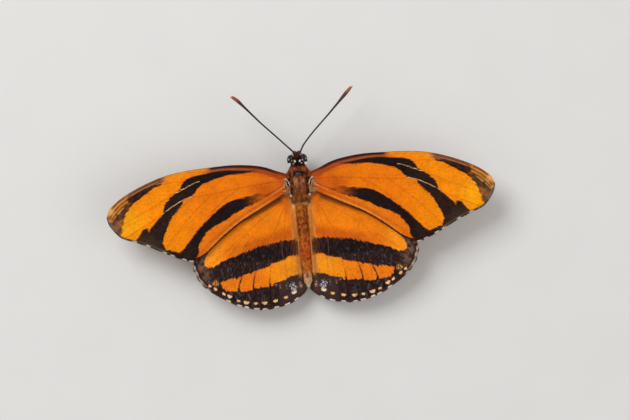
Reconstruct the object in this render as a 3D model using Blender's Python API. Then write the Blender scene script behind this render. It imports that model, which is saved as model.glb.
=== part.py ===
"""A banded orange heliconian butterfly, life size, standing with its wings spread flat.

The head points along +Y, the right wings along +X and up is +Z. The feet stand on the plane z = 0, and the
origin lies on that plane, midway between the wing tips and between the antenna tips and the hind margins.
Lengths below are in millimetres and become metres as each mesh is made.
"""
import math

import bpy
import bmesh
from mathutils import Vector
from mathutils.geometry import delaunay_2d_cdt

MM = 0.001
BODY_SHIFT_Y = 3.6
GAP = 0.3

# Wings: one height function for all four, so that the pairs lie over each other without touching
WING_THICKNESS = 0.5
WING_ROOT_X = 2.4
WING_ROOT_Z = 7.6
WING_RISE = 0.085
WING_ARCH = 0.0011
COSTA_ROLL = 0.018
REAR_DROOP = 0.0015
REAR_DROOP_START = 7.0
HINDWING_STEP = 1.1
HINDWING_DROOP = 0.0035
HINDWING_DROOP_START = 12.0
TROUGH_DEPTH = 0.09
TROUGH_EDGE_X = 4.2

# Wing surface: veins stand up as ridges on both faces
VEIN_RISE = 0.12
VEIN_HALF_WIDTH = 0.36
RIM_STEP = 1.5
VEIN_STEP = 2.2
MEMBRANE_STEP = 2.6
CLEAR_OF_RIM = 0.45
CLEAR_OF_VEIN = 0.9

FOREWING_OUTLINE = [
    (2.45, 1.0), (3.0, 2.15), (5.0, 3.1), (7.5, 4.15), (10.5, 4.85), (15.0, 5.3), (20.0, 5.2), (25.0, 4.95),
    (30.0, 4.25), (35.0, 2.7), (40.0, 0.45), (42.3, -1.1), (43.7, -2.4), (44.3, -4.0), (43.9, -5.9),
    (42.6, -7.8), (41.2, -9.1), (38.5, -10.2), (35.0, -11.7), (31.0, -13.8), (28.3, -15.0), (26.2, -15.8),
    (24.6, -15.3), (22.0, -14.0), (18.0, -10.7), (14.0, -7.95), (10.0, -5.85), (6.0, -3.75), (4.3, -2.85),
    (3.2, -2.2), (2.55, -1.2), (2.4, 0.0),
]
HINDWING_OUTLINE = [
    (2.3, -3.0), (2.7, -2.2), (4.5, -2.0), (8.0, -3.1), (12.0, -5.0), (16.0, -7.4), (20.0, -10.4),
    (23.6, -13.6), (25.5, -15.7), (25.9, -17.2), (25.4, -19.2), (24.2, -21.4), (22.0, -23.4), (19.8, -24.9),
    (17.0, -26.6), (14.0, -27.7), (10.5, -28.35), (7.0, -28.0), (4.2, -27.3), (2.0, -26.0), (0.6, -24.7),
    (0.5, -23.95), (1.1, -22.5), (1.36, -20.5), (1.62, -15.0), (1.68, -9.0), (1.6, -6.0), (1.8, -4.3),
]
FOREWING_VEINS = {
    "costa": [(3.5, 1.9), (7.7, 3.75), (15.0, 4.85), (22.0, 4.7), (30.0, 3.8), (35.0, 2.25), (39.8, 0.05)],
    "subcosta": [(3.4, 1.3), (8.0, 3.1), (13.0, 4.1), (19.0, 4.25)],
    "radius": [(3.4, 0.9), (8.0, 2.2), (14.0, 3.1), (19.0, 3.2), (23.3, 2.1)],
    "radius_fork": [(23.3, 2.1), (28.0, 2.7), (33.0, 1.9), (38.0, 0.2), (42.4, -2.4)],
    "radius_last": [(33.0, 1.9), (38.0, -0.9), (43.3, -4.6)],
    "media_1": [(23.3, 2.1), (25.0, 1.5), (27.0, 0.7), (29.0, -0.2), (34.0, -2.7), (42.8, -6.8)],
    "media_2": [(24.7, -1.1), (27.0, -1.7), (30.0, -3.3), (34.0, -5.8), (40.6, -9.0)],
    "media_3": [(24.7, -1.1), (26.6, -2.7), (29.0, -5.0), (31.5, -7.7), (35.4, -11.1)],
    "cell_end": [(23.3, 2.1), (24.1, 0.4), (24.7, -1.1)],
    "cubitus": [(3.4, 0.7), (8.0, 0.6), (14.0, -0.05), (20.0, -0.8), (24.7, -1.1)],
    "cubitus_1": [(20.0, -0.8), (24.0, -4.0), (28.0, -8.1), (32.1, -12.7)],
    "cubitus_2": [(14.0, -0.05), (18.0, -2.7), (22.0, -6.6), (26.0, -11.3), (28.6, -14.3)],
    "anal": [(3.4, -1.0), (7.0, -3.0), (12.0, -5.3), (17.0, -8.4), (22.0, -12.2), (25.4, -15.1)],
}
HINDWING_VEINS = {
    "subcosta": [(3.4, -3.0), (8.0, -4.8), (14.0, -8.2), (20.0, -12.3), (25.1, -16.3)],
    "sector": [(8.0, -6.6), (13.0, -10.2), (19.0, -14.8), (24.9, -19.4)],
    "media_1": [(13.0, -10.2), (17.0, -14.7), (20.5, -18.6), (23.4, -21.6)],
    "media_2": [(12.2, -11.4), (15.3, -15.8), (18.2, -20.9), (20.2, -24.0)],
    "media_3": [(10.5, -12.2), (13.0, -16.7), (15.8, -22.2), (16.8, -26.1)],
    "cubitus_1": [(9.3, -12.3), (10.9, -16.7), (12.6, -22.5), (13.2, -27.4)],
    "cubitus_2": [(6.7, -10.5), (7.7, -16.0), (8.8, -22.0), (9.0, -27.7)],
    "anal": [(3.7, -5.2), (4.5, -12.0), (4.8, -20.0), (4.5, -26.8)],
    "cell_front": [(3.6, -4.0), (8.0, -6.6)],
    "cell_rear": [
        (3.6, -4.5), (5.2, -7.6), (6.7, -10.5), (9.3, -12.3), (10.5, -12.2), (12.2, -11.4), (13.0, -10.2),
    ],
}

# Body: rings of (y, centre z, half width, height above centre, depth below it)
ABDOMEN_SIDES = 20
FRONT_SIDES = 24
HEAD_STEP = 0.25
COLLAR_STEP = 0.19
THORAX_STEP = 0.5
ABDOMEN_STEP = 0.9
HEAD_RINGS = [
    (4.05, 6.55, 0.75, 0.75, 0.75), (4.25, 6.6, 1.15, 1.1, 1.1), (4.75, 6.7, 1.42, 1.35, 1.35),
    (5.3, 6.7, 1.45, 1.35, 1.4), (5.85, 6.6, 1.25, 1.15, 1.2), (6.2, 6.5, 0.85, 0.75, 0.8),
    (6.3, 6.5, 0.5, 0.45, 0.5),
]
COLLAR_RINGS = [
    (2.8, 6.5, 1.4, 1.15, 1.2), (2.95, 6.5, 1.9, 1.5, 1.5), (3.3, 6.5, 1.9, 1.5, 1.5),
    (3.6, 6.5, 1.5, 1.3, 1.3), (3.75, 6.5, 0.95, 0.85, 0.85),
]
THORAX_RINGS = [
    (2.5, 6.6, 1.2, 0.9, 1.0), (2.3, 6.55, 1.8, 1.45, 1.5), (1.3, 6.4, 2.13, 2.2, 2.2),
    (-0.5, 6.3, 2.1, 2.55, 2.4), (-2.2, 6.3, 2.0, 2.4, 2.25), (-3.6, 6.4, 1.6, 1.9, 1.8),
    (-4.4, 6.5, 1.25, 1.3, 1.25), (-4.65, 6.5, 0.8, 0.85, 0.8),
]
ABDOMEN_RINGS = [
    (-4.95, 6.5, 0.8, 0.85, 0.8), (-5.3, 6.5, 1.1, 1.1, 1.1), (-7.0, 6.45, 1.3, 1.3, 1.35),
    (-10.0, 6.35, 1.37, 1.35, 1.45), (-14.0, 6.15, 1.33, 1.3, 1.45), (-18.0, 5.9, 1.2, 1.2, 1.3),
    (-21.0, 5.65, 0.97, 0.95, 1.0), (-22.8, 5.5, 0.68, 0.65, 0.7), (-23.6, 5.45, 0.3, 0.3, 0.35),
]
THORAX_GROOVE_Y = -2.7
ABDOMEN_GROOVES_Y = [-6.7, -9.4, -12.2, -14.9, -17.4, -19.6, -21.6]
GROOVE_DEPTH = 0.08
GROOVE_HALF_WIDTH = 0.3

EYE_CENTRE = (1.6, 5.3, 6.8)
EYE_RADII = (0.68, 1.02, 1.2)
EYE_SEGMENTS = 18
EYE_RINGS = 11

# Feelers and legs of the right side: centre lines, with the thickness along them
ANTENNA_RIGHT_PATH = [
    (0.5, 6.3, 7.95), (0.99, 7.15, 8.2), (1.83, 8.58, 8.5), (4.18, 11.19, 8.9), (7.74, 14.61, 9.4),
    (10.32, 17.18, 9.8), (12.6, 19.5, 10.05), (14.1, 20.95, 10.15),
]
ANTENNA_LEFT_PATH = [
    (-0.5, 6.3, 7.95), (-0.78, 7.1, 8.2), (-2.3, 8.75, 8.5), (-4.7, 11.3, 8.9), (-7.6, 14.35, 9.3),
    (-10.69, 17.9, 9.8), (-12.6, 20.0, 10.05), (-14.0, 20.95, 10.15),
]
ANTENNA_RADII = [0.25, 0.25, 0.25, 0.25, 0.25, 0.3, 0.42, 0.24]
PALP_PATH = [(0.9, 5.75, 4.75), (0.7, 6.45, 4.95), (0.52, 6.9, 5.7), (0.42, 6.98, 6.6)]
PALP_RADII = [0.3, 0.36, 0.34, 0.18]
COIL_CENTRE = (5.15, 3.95)
COIL_INNER_RADIUS = 0.4
COIL_OUTER_RADIUS = 1.05
COIL_START_DEG = 100.0
COIL_TURNS = 1.35
COIL_STEPS = 18
COIL_TUBE_RADIUS = 0.24
COIL_SIDES = 6
FORELEG_PATH = [(0.85, 1.9, 3.85), (1.25, 3.0, 3.65), (1.2, 4.0, 4.0), (0.95, 4.7, 4.5)]
FORELEG_RADII = [0.3, 0.27, 0.25, 0.18]
LEG_JOINTS = {
    "mid": [(1.35, -0.4, 3.6), (4.7, 0.8, 4.5), (6.9, 2.3, 1.3), (9.2, 3.9, 0.2)],
    "hind": [(1.2, -2.7, 3.75), (3.9, -4.9, 4.6), (5.4, -9.2, 1.35), (6.7, -13.3, 0.2)],
}
FEMUR_RADII = [0.3, 0.36, 0.34, 0.27]
TIBIA_RADII = [0.27, 0.27, 0.26, 0.26]
TARSUS_RADII = [0.26, 0.25, 0.25, 0.27]
FEMUR_BOW = 0.2
TIBIA_BOW = 0.15
KNEE_CLEARANCE = 0.45
ANKLE_CLEARANCE = 0.42
TARSUS_FLAT = 1.1
TARSUS_BEND_SHARE = 0.55
TARSUS_BEND_DROP = 0.12
LEG_SIDES = 8
FEELER_SIDES = 8
CAP_LEANS_DEG = (40.0, 75.0)
LEG_STEPS = {"foreleg": 0.7, "femur": 1.0, "tibia": 1.2, "tarsus": 0.8}
FEELER_STEP = 1.2
PALP_STEP = 0.5
COIL_STEP = 1.0


def clear_scene():
    """Leave no object of an earlier run."""
    for old in list(bpy.data.objects):
        bpy.data.objects.remove(old, do_unlink=True)


def material(name, colour, roughness):
    """A plain surface of one colour."""
    made = bpy.data.materials.new(name)
    made.use_nodes = True
    shader = made.node_tree.nodes["Principled BSDF"]
    shader.inputs["Base Color"].default_value = (*colour, 1.0)
    shader.inputs["Roughness"].default_value = roughness
    shader.inputs["Metallic"].default_value = 0.0
    made.diffuse_color = (*colour, 1.0)
    return made


def add_object(name, vertices, faces, finish):
    """One closed body from points in millimetres, shaded smooth with its faces pointing out."""
    mesh = bpy.data.meshes.new(name)
    moved = [(x * MM, (y + BODY_SHIFT_Y) * MM, z * MM) for x, y, z in vertices]
    mesh.from_pydata(moved, [], faces)
    work = bmesh.new()
    work.from_mesh(mesh)
    bmesh.ops.triangulate(work, faces=work.faces)
    bmesh.ops.recalc_face_normals(work, faces=work.faces)
    work.to_mesh(mesh)
    work.free()
    mesh.materials.append(finish)
    mesh.shade_smooth()
    mesh.set_sharp_from_angle(angle=math.radians(50.0))
    made = bpy.data.objects.new(name, mesh)
    bpy.context.collection.objects.link(made)
    return made


def blend(a, b, c, d, t):
    """A point on the Catmull-Rom curve from b to c."""
    return 0.5 * (2.0 * b + (c - a) * t + (2.0 * a - 5.0 * b + 4.0 * c - d) * t * t
                  + (3.0 * b - a - 3.0 * c + d) * t ** 3)


def spline(points, step, closed=False):
    """Points about one step apart along a smooth curve through the given ones."""
    knots = [Vector(p) for p in points]
    count = len(knots)
    result = []
    for i in range(count if closed else count - 1):
        b = knots[i]
        c = knots[(i + 1) % count]
        a = knots[i - 1] if closed or i > 0 else b
        d = knots[(i + 2) % count] if closed or i + 2 < count else c
        pieces = max(1, round((c - b).length / step))
        result.extend(blend(a, b, c, d, k / pieces) for k in range(pieces))
    if not closed:
        result.append(knots[-1])
    return result


def forewing_height(x, y):
    """Middle surface of a forewing: it rises from its root, arches, and rolls down at the costa."""
    span = x - WING_ROOT_X
    roll = COSTA_ROLL * max(0.0, y - 1.0) ** 2
    droop = REAR_DROOP * max(0.0, -y - REAR_DROOP_START) ** 2
    return WING_ROOT_Z + WING_RISE * span - WING_ARCH * span * span - roll - droop


def hindwing_height(x, y):
    """Middle surface of a hindwing: a step under the forewing, with a trough along the abdomen."""
    trough = TROUGH_DEPTH * max(0.0, TROUGH_EDGE_X - x) ** 2
    droop = HINDWING_DROOP * max(0.0, -y - HINDWING_DROOP_START) ** 2
    return forewing_height(x, y) - HINDWING_STEP - trough - droop


def distance_to_path(point, path):
    """Distance from a flat point to an open line of points."""
    nearest = math.inf
    for a, b in zip(path, path[1:]):
        along = b - a
        share = max(0.0, min(1.0, (point - a).dot(along) / along.length_squared))
        nearest = min(nearest, (point - a - share * along).length)
    return nearest


def inside(point, ring):
    """Whether a flat point lies within a closed ring of points."""
    within = False
    for a, b in zip(ring, ring[1:] + ring[:1]):
        if (a.y > point.y) != (b.y > point.y):
            if point.x < a.x + (point.y - a.y) * (b.x - a.x) / (b.y - a.y):
                within = not within
    return within


def side_line(path, offset):
    """The path moved sideways by the offset."""
    moved = []
    for i, point in enumerate(path):
        along = path[min(i + 1, len(path) - 1)] - path[max(i - 1, 0)]
        moved.append(point + Vector((-along.y, along.x)).normalized() * offset)
    return moved


def wing_plan(outline, veins):
    """Triangles of a wing seen from above, with edges along its rim, its veins and the veins' feet."""
    rim = spline(outline, RIM_STEP, closed=True)
    paths = [spline(points, VEIN_STEP) for points in veins.values()]
    closed_rim = rim + rim[:1]
    points = list(rim)
    edges = [(i, (i + 1) % len(rim)) for i in range(len(rim))]
    for path in paths:
        for line in (path, side_line(path, VEIN_HALF_WIDTH), side_line(path, -VEIN_HALF_WIDTH)):
            before = None
            for point in line:
                if not inside(point, rim) or distance_to_path(point, closed_rim) < 0.5 * CLEAR_OF_RIM:
                    before = None
                    continue
                points.append(point)
                if before is not None:
                    edges.append((before, len(points) - 1))
                before = len(points) - 1
    for point in membrane_points(rim, paths):
        points.append(point)
    flat, _, triangles, *_ = delaunay_2d_cdt(points, edges, [], 1, 0.03)
    return flat, triangles, paths


def membrane_points(rim, paths):
    """A staggered grid over the wing, clear of its rim and its veins."""
    xs = [p.x for p in rim]
    ys = [p.y for p in rim]
    found = []
    rows = int((max(ys) - min(ys)) / MEMBRANE_STEP) + 1
    columns = int((max(xs) - min(xs)) / MEMBRANE_STEP) + 1
    for row in range(rows):
        for column in range(columns):
            shift = 0.5 * (row % 2)
            point = Vector((min(xs) + (column + shift) * MEMBRANE_STEP, min(ys) + row * MEMBRANE_STEP))
            if not inside(point, rim) or distance_to_path(point, rim + rim[:1]) < CLEAR_OF_VEIN:
                continue
            if min(distance_to_path(point, path) for path in paths) > CLEAR_OF_VEIN:
                found.append(point)
    return found


def add_wing(name, outline, veins, height, side, finish):
    """A thin closed wing, alike above and below, with its veins raised on both faces."""
    flat, triangles, paths = wing_plan(outline, veins)
    count = len(flat)
    upper = []
    lower = []
    for point in flat:
        reach = min(distance_to_path(point, path) for path in paths)
        lift = 0.5 * WING_THICKNESS + VEIN_RISE * max(0.0, 1.0 - reach / VEIN_HALF_WIDTH)
        middle = height(point.x, point.y)
        upper.append((side * point.x, point.y, middle + lift))
        lower.append((side * point.x, point.y, middle - lift))
    faces = [tuple(t) for t in triangles]
    faces += [(a + count, c + count, b + count) for a, b, c in triangles]
    shared = {}
    for a, b, c in triangles:
        for edge in ((a, b), (b, c), (c, a)):
            shared[edge] = True
    for a, b in shared:
        if (b, a) not in shared:
            faces.append((b, a, a + count))
            faces.append((b, a + count, b + count))
    return add_object(name, upper + lower, faces, finish)


def ring_at(stations, y):
    """The body's section at y: centre height, half width, height above and depth below."""
    knots = sorted(stations)
    last = len(knots) - 1
    i = 0
    while i < last - 1 and y > knots[i + 1][0]:
        i += 1
    b = Vector(knots[i][1:])
    c = Vector(knots[i + 1][1:])
    t = (y - knots[i][0]) / (knots[i + 1][0] - knots[i][0])
    run_b = b if i == 0 else Vector(knots[i - 1][1:])
    run_c = c if i + 1 == last else Vector(knots[i + 2][1:])
    return blend(run_b, b, c, run_c, max(0.0, min(1.0, t)))


def add_body(name, stations, step, grooves, side_count, finish):
    """A closed form through oval rings along Y, drawn in at each groove."""
    vertices = []
    faces = []
    places = places_between(min(s[0] for s in stations), max(s[0] for s in stations), step, grooves)
    for y in places:
        centre, half_width, above, below = ring_at(stations, y)
        pinch = 1.0
        for groove in grooves:
            pinch -= GROOVE_DEPTH * max(0.0, 1.0 - abs(y - groove) / GROOVE_HALF_WIDTH)
        for k in range(side_count):
            angle = 2.0 * math.pi * k / side_count
            tall = above if math.sin(angle) > 0.0 else below
            x = half_width * pinch * math.cos(angle)
            vertices.append((x, y, centre + tall * pinch * math.sin(angle)))
    rings = len(places)
    for r in range(rings - 1):
        for k in range(side_count):
            a = r * side_count + k
            b = r * side_count + (k + 1) % side_count
            faces.append((a, b, b + side_count, a + side_count))
    faces.append(tuple(range(side_count)))
    faces.append(tuple(range((rings - 1) * side_count, rings * side_count)))
    return add_object(name, vertices, faces, finish)


def places_between(start, end, step, grooves):
    """Where the rings of a body lie: evenly from start to end, and at and beside each groove."""
    count = max(2, round(abs(end - start) / step))
    even = [start + (end - start) * k / count for k in range(count + 1)]
    marked = [g + k * GROOVE_HALF_WIDTH for g in grooves for k in (-1, 0, 1)]
    clear = [y for y in even if all(abs(y - m) > 0.5 * GROOVE_HALF_WIDTH for m in marked)]
    return sorted(clear + marked)


def add_tube(name, path, radii, sides, step, finish, floor=None):
    """A round-ended tube along a path, flattened where it would reach below the floor."""
    knots = [Vector((*point, radius)) for point, radius in zip(path, radii)]
    line = spline(knots, step)
    centres = [Vector(p[:3]) for p in line]
    widths = [p[3] for p in line]
    start = (centres[1] - centres[0]).normalized()
    end = (centres[-1] - centres[-2]).normalized()
    rings = list(zip(centres, widths))
    for lean in (math.radians(degrees) for degrees in CAP_LEANS_DEG):
        rings.insert(0, (centres[0] - start * widths[0] * math.sin(lean), widths[0] * math.cos(lean)))
        rings.append((centres[-1] + end * widths[-1] * math.sin(lean), widths[-1] * math.cos(lean)))
    vertices = []
    across = start.orthogonal().normalized()
    for i, (centre, radius) in enumerate(rings):
        ahead = rings[min(i + 1, len(rings) - 1)][0] - rings[max(i - 1, 0)][0]
        ahead.normalize()
        across = (across - ahead * across.dot(ahead)).normalized()
        other = ahead.cross(across)
        for k in range(sides):
            angle = 2.0 * math.pi * k / sides
            spot = centre + radius * (math.cos(angle) * across + math.sin(angle) * other)
            if floor is not None:
                spot.z = max(spot.z, floor)
            vertices.append(tuple(spot))
    faces = []
    for r in range(len(rings) - 1):
        for k in range(sides):
            a = r * sides + k
            b = r * sides + (k + 1) % sides
            faces.append((a, b, b + sides, a + sides))
    faces.append(tuple(range(sides)))
    faces.append(tuple(range((len(rings) - 1) * sides, len(rings) * sides)))
    return add_object(name, vertices, faces, finish)


def ellipsoid(name, centre, radii, finish):
    """An oval ball with its poles along X, as an insect's eye sits on its head."""
    vertices = [(centre[0] + radii[0], centre[1], centre[2])]
    for r in range(1, EYE_RINGS):
        lean = math.pi * r / EYE_RINGS
        for k in range(EYE_SEGMENTS):
            turn = 2.0 * math.pi * k / EYE_SEGMENTS
            vertices.append((centre[0] + radii[0] * math.cos(lean),
                             centre[1] + radii[1] * math.sin(lean) * math.cos(turn),
                             centre[2] + radii[2] * math.sin(lean) * math.sin(turn)))
    vertices.append((centre[0] - radii[0], centre[1], centre[2]))
    last = len(vertices) - 1
    faces = []
    for k in range(EYE_SEGMENTS):
        following = (k + 1) % EYE_SEGMENTS
        faces.append((0, 1 + k, 1 + following))
        base = 1 + (EYE_RINGS - 2) * EYE_SEGMENTS
        faces.append((last, base + following, base + k))
        for r in range(EYE_RINGS - 2):
            a = 1 + r * EYE_SEGMENTS
            faces.append((a + k, a + EYE_SEGMENTS + k, a + EYE_SEGMENTS + following, a + following))
    return add_object(name, vertices, faces, finish)


def cut_away(body, cutter):
    """Take the cutter's form out of the body and drop the cutter."""
    cut = body.modifiers.new("cut", "BOOLEAN")
    cut.operation = "DIFFERENCE"
    cut.solver = "EXACT"
    cut.object = cutter
    evaluated = body.evaluated_get(bpy.context.evaluated_depsgraph_get())
    mesh = bpy.data.meshes.new_from_object(evaluated)
    body.modifiers.clear()
    body.data = mesh
    bpy.data.objects.remove(cutter, do_unlink=True)


def mirrored(path, side):
    """The path on the right side of the body, or its mirror image on the left."""
    return [(side * x, y, z) for x, y, z in path]


def coil_path():
    """Centre line of the rolled proboscis, from its root under the head inwards."""
    points = []
    for k in range(COIL_STEPS + 1):
        share = k / COIL_STEPS
        radius = COIL_OUTER_RADIUS + (COIL_INNER_RADIUS - COIL_OUTER_RADIUS) * share
        angle = math.radians(COIL_START_DEG) - 2.0 * math.pi * COIL_TURNS * share
        y = COIL_CENTRE[0] + radius * math.cos(angle)
        points.append((0.0, y, COIL_CENTRE[1] + radius * math.sin(angle)))
    return points


def shortened(a, b, at_start, at_end):
    """The run from a to b with a length left off each end."""
    a = Vector(a)
    b = Vector(b)
    along = (b - a).normalized()
    return a + along * at_start, b - along * at_end


def bowed(a, b, bow):
    """Four points from a to b, with the two in the middle bowed out."""
    return [a, a.lerp(b, 1.0 / 3.0) + bow, a.lerp(b, 2.0 / 3.0) + bow, b]


def add_leg(kind, side_name, side, finish):
    """Femur, tibia and tarsus of one walking leg, each its own piece with a gap at the joint."""
    hip, knee, ankle, toe = mirrored(LEG_JOINTS[kind], side)
    up = Vector((0.0, 0.0, 1.0))
    start, end = shortened(hip, knee, 0.0, KNEE_CLEARANCE)
    add_tube(f"{kind}leg_femur_{side_name}", bowed(start, end, up * FEMUR_BOW), FEMUR_RADII, LEG_SIDES,
             LEG_STEPS["femur"], finish)
    start, end = shortened(knee, ankle, KNEE_CLEARANCE, KNEE_CLEARANCE)
    add_tube(f"{kind}leg_tibia_{side_name}", bowed(start, end, up * TIBIA_BOW), TIBIA_RADII, LEG_SIDES,
             LEG_STEPS["tibia"], finish)
    start, end = shortened(ankle, toe, ANKLE_CLEARANCE, 0.0)
    flat_run = Vector((end.x - start.x, end.y - start.y, 0.0)).normalized() * TARSUS_FLAT
    flat_start = end - flat_run
    middle = start.lerp(flat_start, TARSUS_BEND_SHARE) - up * TARSUS_BEND_DROP
    add_tube(f"{kind}leg_tarsus_{side_name}", [start, middle, flat_start, end], TARSUS_RADII, LEG_SIDES,
             LEG_STEPS["tarsus"], finish, floor=0.0)


def build():
    """Every piece of the butterfly."""
    clear_scene()
    flesh = material("red_brown_scales", (0.30, 0.11, 0.05), 0.8)
    wing = material("orange_wing_scales", (0.80, 0.22, 0.02), 0.6)
    eye = material("dark_eye", (0.03, 0.015, 0.01), 0.15)
    horn = material("black_brown_horn", (0.03, 0.02, 0.015), 0.45)

    head = add_body("head", HEAD_RINGS, HEAD_STEP, (), FRONT_SIDES, flesh)
    grown = tuple(r + GAP for r in EYE_RADII)
    for side_name, side in (("right", 1), ("left", -1)):
        centre = (side * EYE_CENTRE[0], EYE_CENTRE[1], EYE_CENTRE[2])
        cut_away(head, ellipsoid("socket", centre, grown, flesh))
        ellipsoid(f"eye_{side_name}", centre, EYE_RADII, eye)
    add_body("prothorax", COLLAR_RINGS, COLLAR_STEP, (), FRONT_SIDES, flesh)
    add_body("thorax", THORAX_RINGS, THORAX_STEP, (THORAX_GROOVE_Y,), FRONT_SIDES, flesh)
    add_body("abdomen", ABDOMEN_RINGS, ABDOMEN_STEP, ABDOMEN_GROOVES_Y, ABDOMEN_SIDES, flesh)
    add_tube("proboscis", coil_path(), [COIL_TUBE_RADIUS] * (COIL_STEPS + 1), COIL_SIDES, COIL_STEP, horn)
    add_tube("antenna_right", ANTENNA_RIGHT_PATH, ANTENNA_RADII, FEELER_SIDES, FEELER_STEP, horn)
    add_tube("antenna_left", ANTENNA_LEFT_PATH, ANTENNA_RADII, FEELER_SIDES, FEELER_STEP, horn)
    for side_name, side in (("right", 1), ("left", -1)):
        add_tube(f"palp_{side_name}", mirrored(PALP_PATH, side), PALP_RADII, FEELER_SIDES, PALP_STEP, flesh)
        add_tube(f"foreleg_{side_name}", mirrored(FORELEG_PATH, side), FORELEG_RADII, LEG_SIDES,
                 LEG_STEPS["foreleg"], horn)
        add_leg("mid", side_name, side, horn)
        add_leg("hind", side_name, side, horn)
        add_wing(f"forewing_{side_name}", FOREWING_OUTLINE, FOREWING_VEINS, forewing_height, side, wing)
        add_wing(f"hindwing_{side_name}", HINDWING_OUTLINE, HINDWING_VEINS, hindwing_height, side, wing)


build()
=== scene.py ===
"""Looks of the banded orange heliconian butterfly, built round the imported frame.

Plan points are in millimetres on the right side of the body, with the head along +Y, as in the part's source.
The left side mirrors them. Each piece is made in metres, in the frame's own axes.
"""
import math

import bpy
import numpy as np
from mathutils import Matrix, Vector


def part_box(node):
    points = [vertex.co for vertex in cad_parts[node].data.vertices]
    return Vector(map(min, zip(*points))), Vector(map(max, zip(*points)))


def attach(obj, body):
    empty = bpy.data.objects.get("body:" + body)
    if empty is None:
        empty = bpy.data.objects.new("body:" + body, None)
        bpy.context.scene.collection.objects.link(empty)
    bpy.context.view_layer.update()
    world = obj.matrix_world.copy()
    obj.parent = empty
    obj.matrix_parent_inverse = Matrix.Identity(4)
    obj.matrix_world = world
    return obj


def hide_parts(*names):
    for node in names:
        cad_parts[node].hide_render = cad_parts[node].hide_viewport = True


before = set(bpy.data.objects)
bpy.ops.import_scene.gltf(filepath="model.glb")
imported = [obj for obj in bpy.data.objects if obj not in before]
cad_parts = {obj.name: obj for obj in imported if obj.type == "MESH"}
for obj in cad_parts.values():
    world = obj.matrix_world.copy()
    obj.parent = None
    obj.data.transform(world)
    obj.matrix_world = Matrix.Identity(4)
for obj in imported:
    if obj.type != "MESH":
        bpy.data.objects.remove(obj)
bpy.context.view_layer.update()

MM = 0.001
ABDOMEN_END_Y = -23.6
SHIFT_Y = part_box("abdomen")[0].y / MM - ABDOMEN_END_Y
SEED = 11
SIDES = (("right", 1), ("left", -1))
UP = np.array((0.0, 0.0, 1.0))
FULL_TURN = 2 * math.pi

# Wing form, as in the solids
WING_ROOT_X = 2.4
WING_ROOT_Z = 7.6
WING_RISE = 0.085
WING_ARCH = 0.0011
COSTA_ROLL = 0.018
REAR_DROOP = 0.0015
REAR_DROOP_START = 7
HINDWING_STEP = 1.1
HINDWING_DROOP = 0.0035
HINDWING_DROOP_START = 12
TROUGH_DEPTH = 0.09
TROUGH_EDGE_X = 4.2
# Inner margin of the hindwing, raised in a soft fold beside the abdomen
FOLD_RISE = 0.75
FOLD_X = 1.45
FOLD_WIDTH = 0.5
FOLD_START_Y = -22.5
FOLD_END_Y = -4.2
WING_HALF_THICKNESS = 0.24
WING_EDGE_HALF_THICKNESS = 0.1
EDGE_TAPER = 1.2
VEIN_RISE = 0.12
VEIN_HALF_WIDTH = 0.2
PLEAT_DEPTH = 0.07
RING_RUN = 16
NOTCH_REACH = 0.7
FRINGE_COUNT = 1500
WING_HAIR_COUNTS = (620, 1000)
# The lower face: its share of ink, and how far its rows of scales lie from the upper face's
LOWER_INK_SHARE = 0.75
LOWER_ROWS_SHIFT = 60
# Height of a scale's bump, in metres
SCALE_BUMP = 0.00004
# Past any depth or distance that counts on a wing
FAR_OFF = 9.0

FOREWING_OUTLINE = [
    (1.7, 1.2), (2.7, 2.2), (5, 3.1), (7.5, 4.15), (10.5, 4.85), (15, 5.3), (20, 5.2), (25, 4.95),
    (30, 4.25), (35, 2.7), (40, 0.45), (42.3, -1.1), (43.7, -2.4), (44.3, -4), (43.9, -5.9), (42.6, -7.8),
    (41.2, -9.1), (38.5, -10.2), (35, -11.7), (31, -13.8), (28.3, -15), (26.2, -15.8), (24.6, -15.3),
    (22, -14), (18, -10.7), (14, -7.95), (10, -5.85), (6, -3.75), (4.3, -2.85), (3, -2.2), (1.9, -1.4),
    (1.6, 0),
]
HINDWING_OUTLINE = [
    (1.5, -3), (2.2, -2.2), (4.5, -2), (8, -3.1), (12, -5), (16, -7.4), (20, -10.4), (23.6, -13.6),
    (25.5, -15.7), (25.9, -17.2), (25.4, -19.2), (24.2, -21.4), (22, -23.4), (19.8, -24.9), (17, -26.6),
    (14, -27.7), (10.5, -28.35), (7, -28), (4.2, -27.3), (2, -26), (0.6, -24.7), (0.5, -23.95),
    (0.72, -22.5), (0.95, -20.5), (1.2, -15), (1.25, -9), (1.1, -6), (1.2, -4.3),
]
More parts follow.
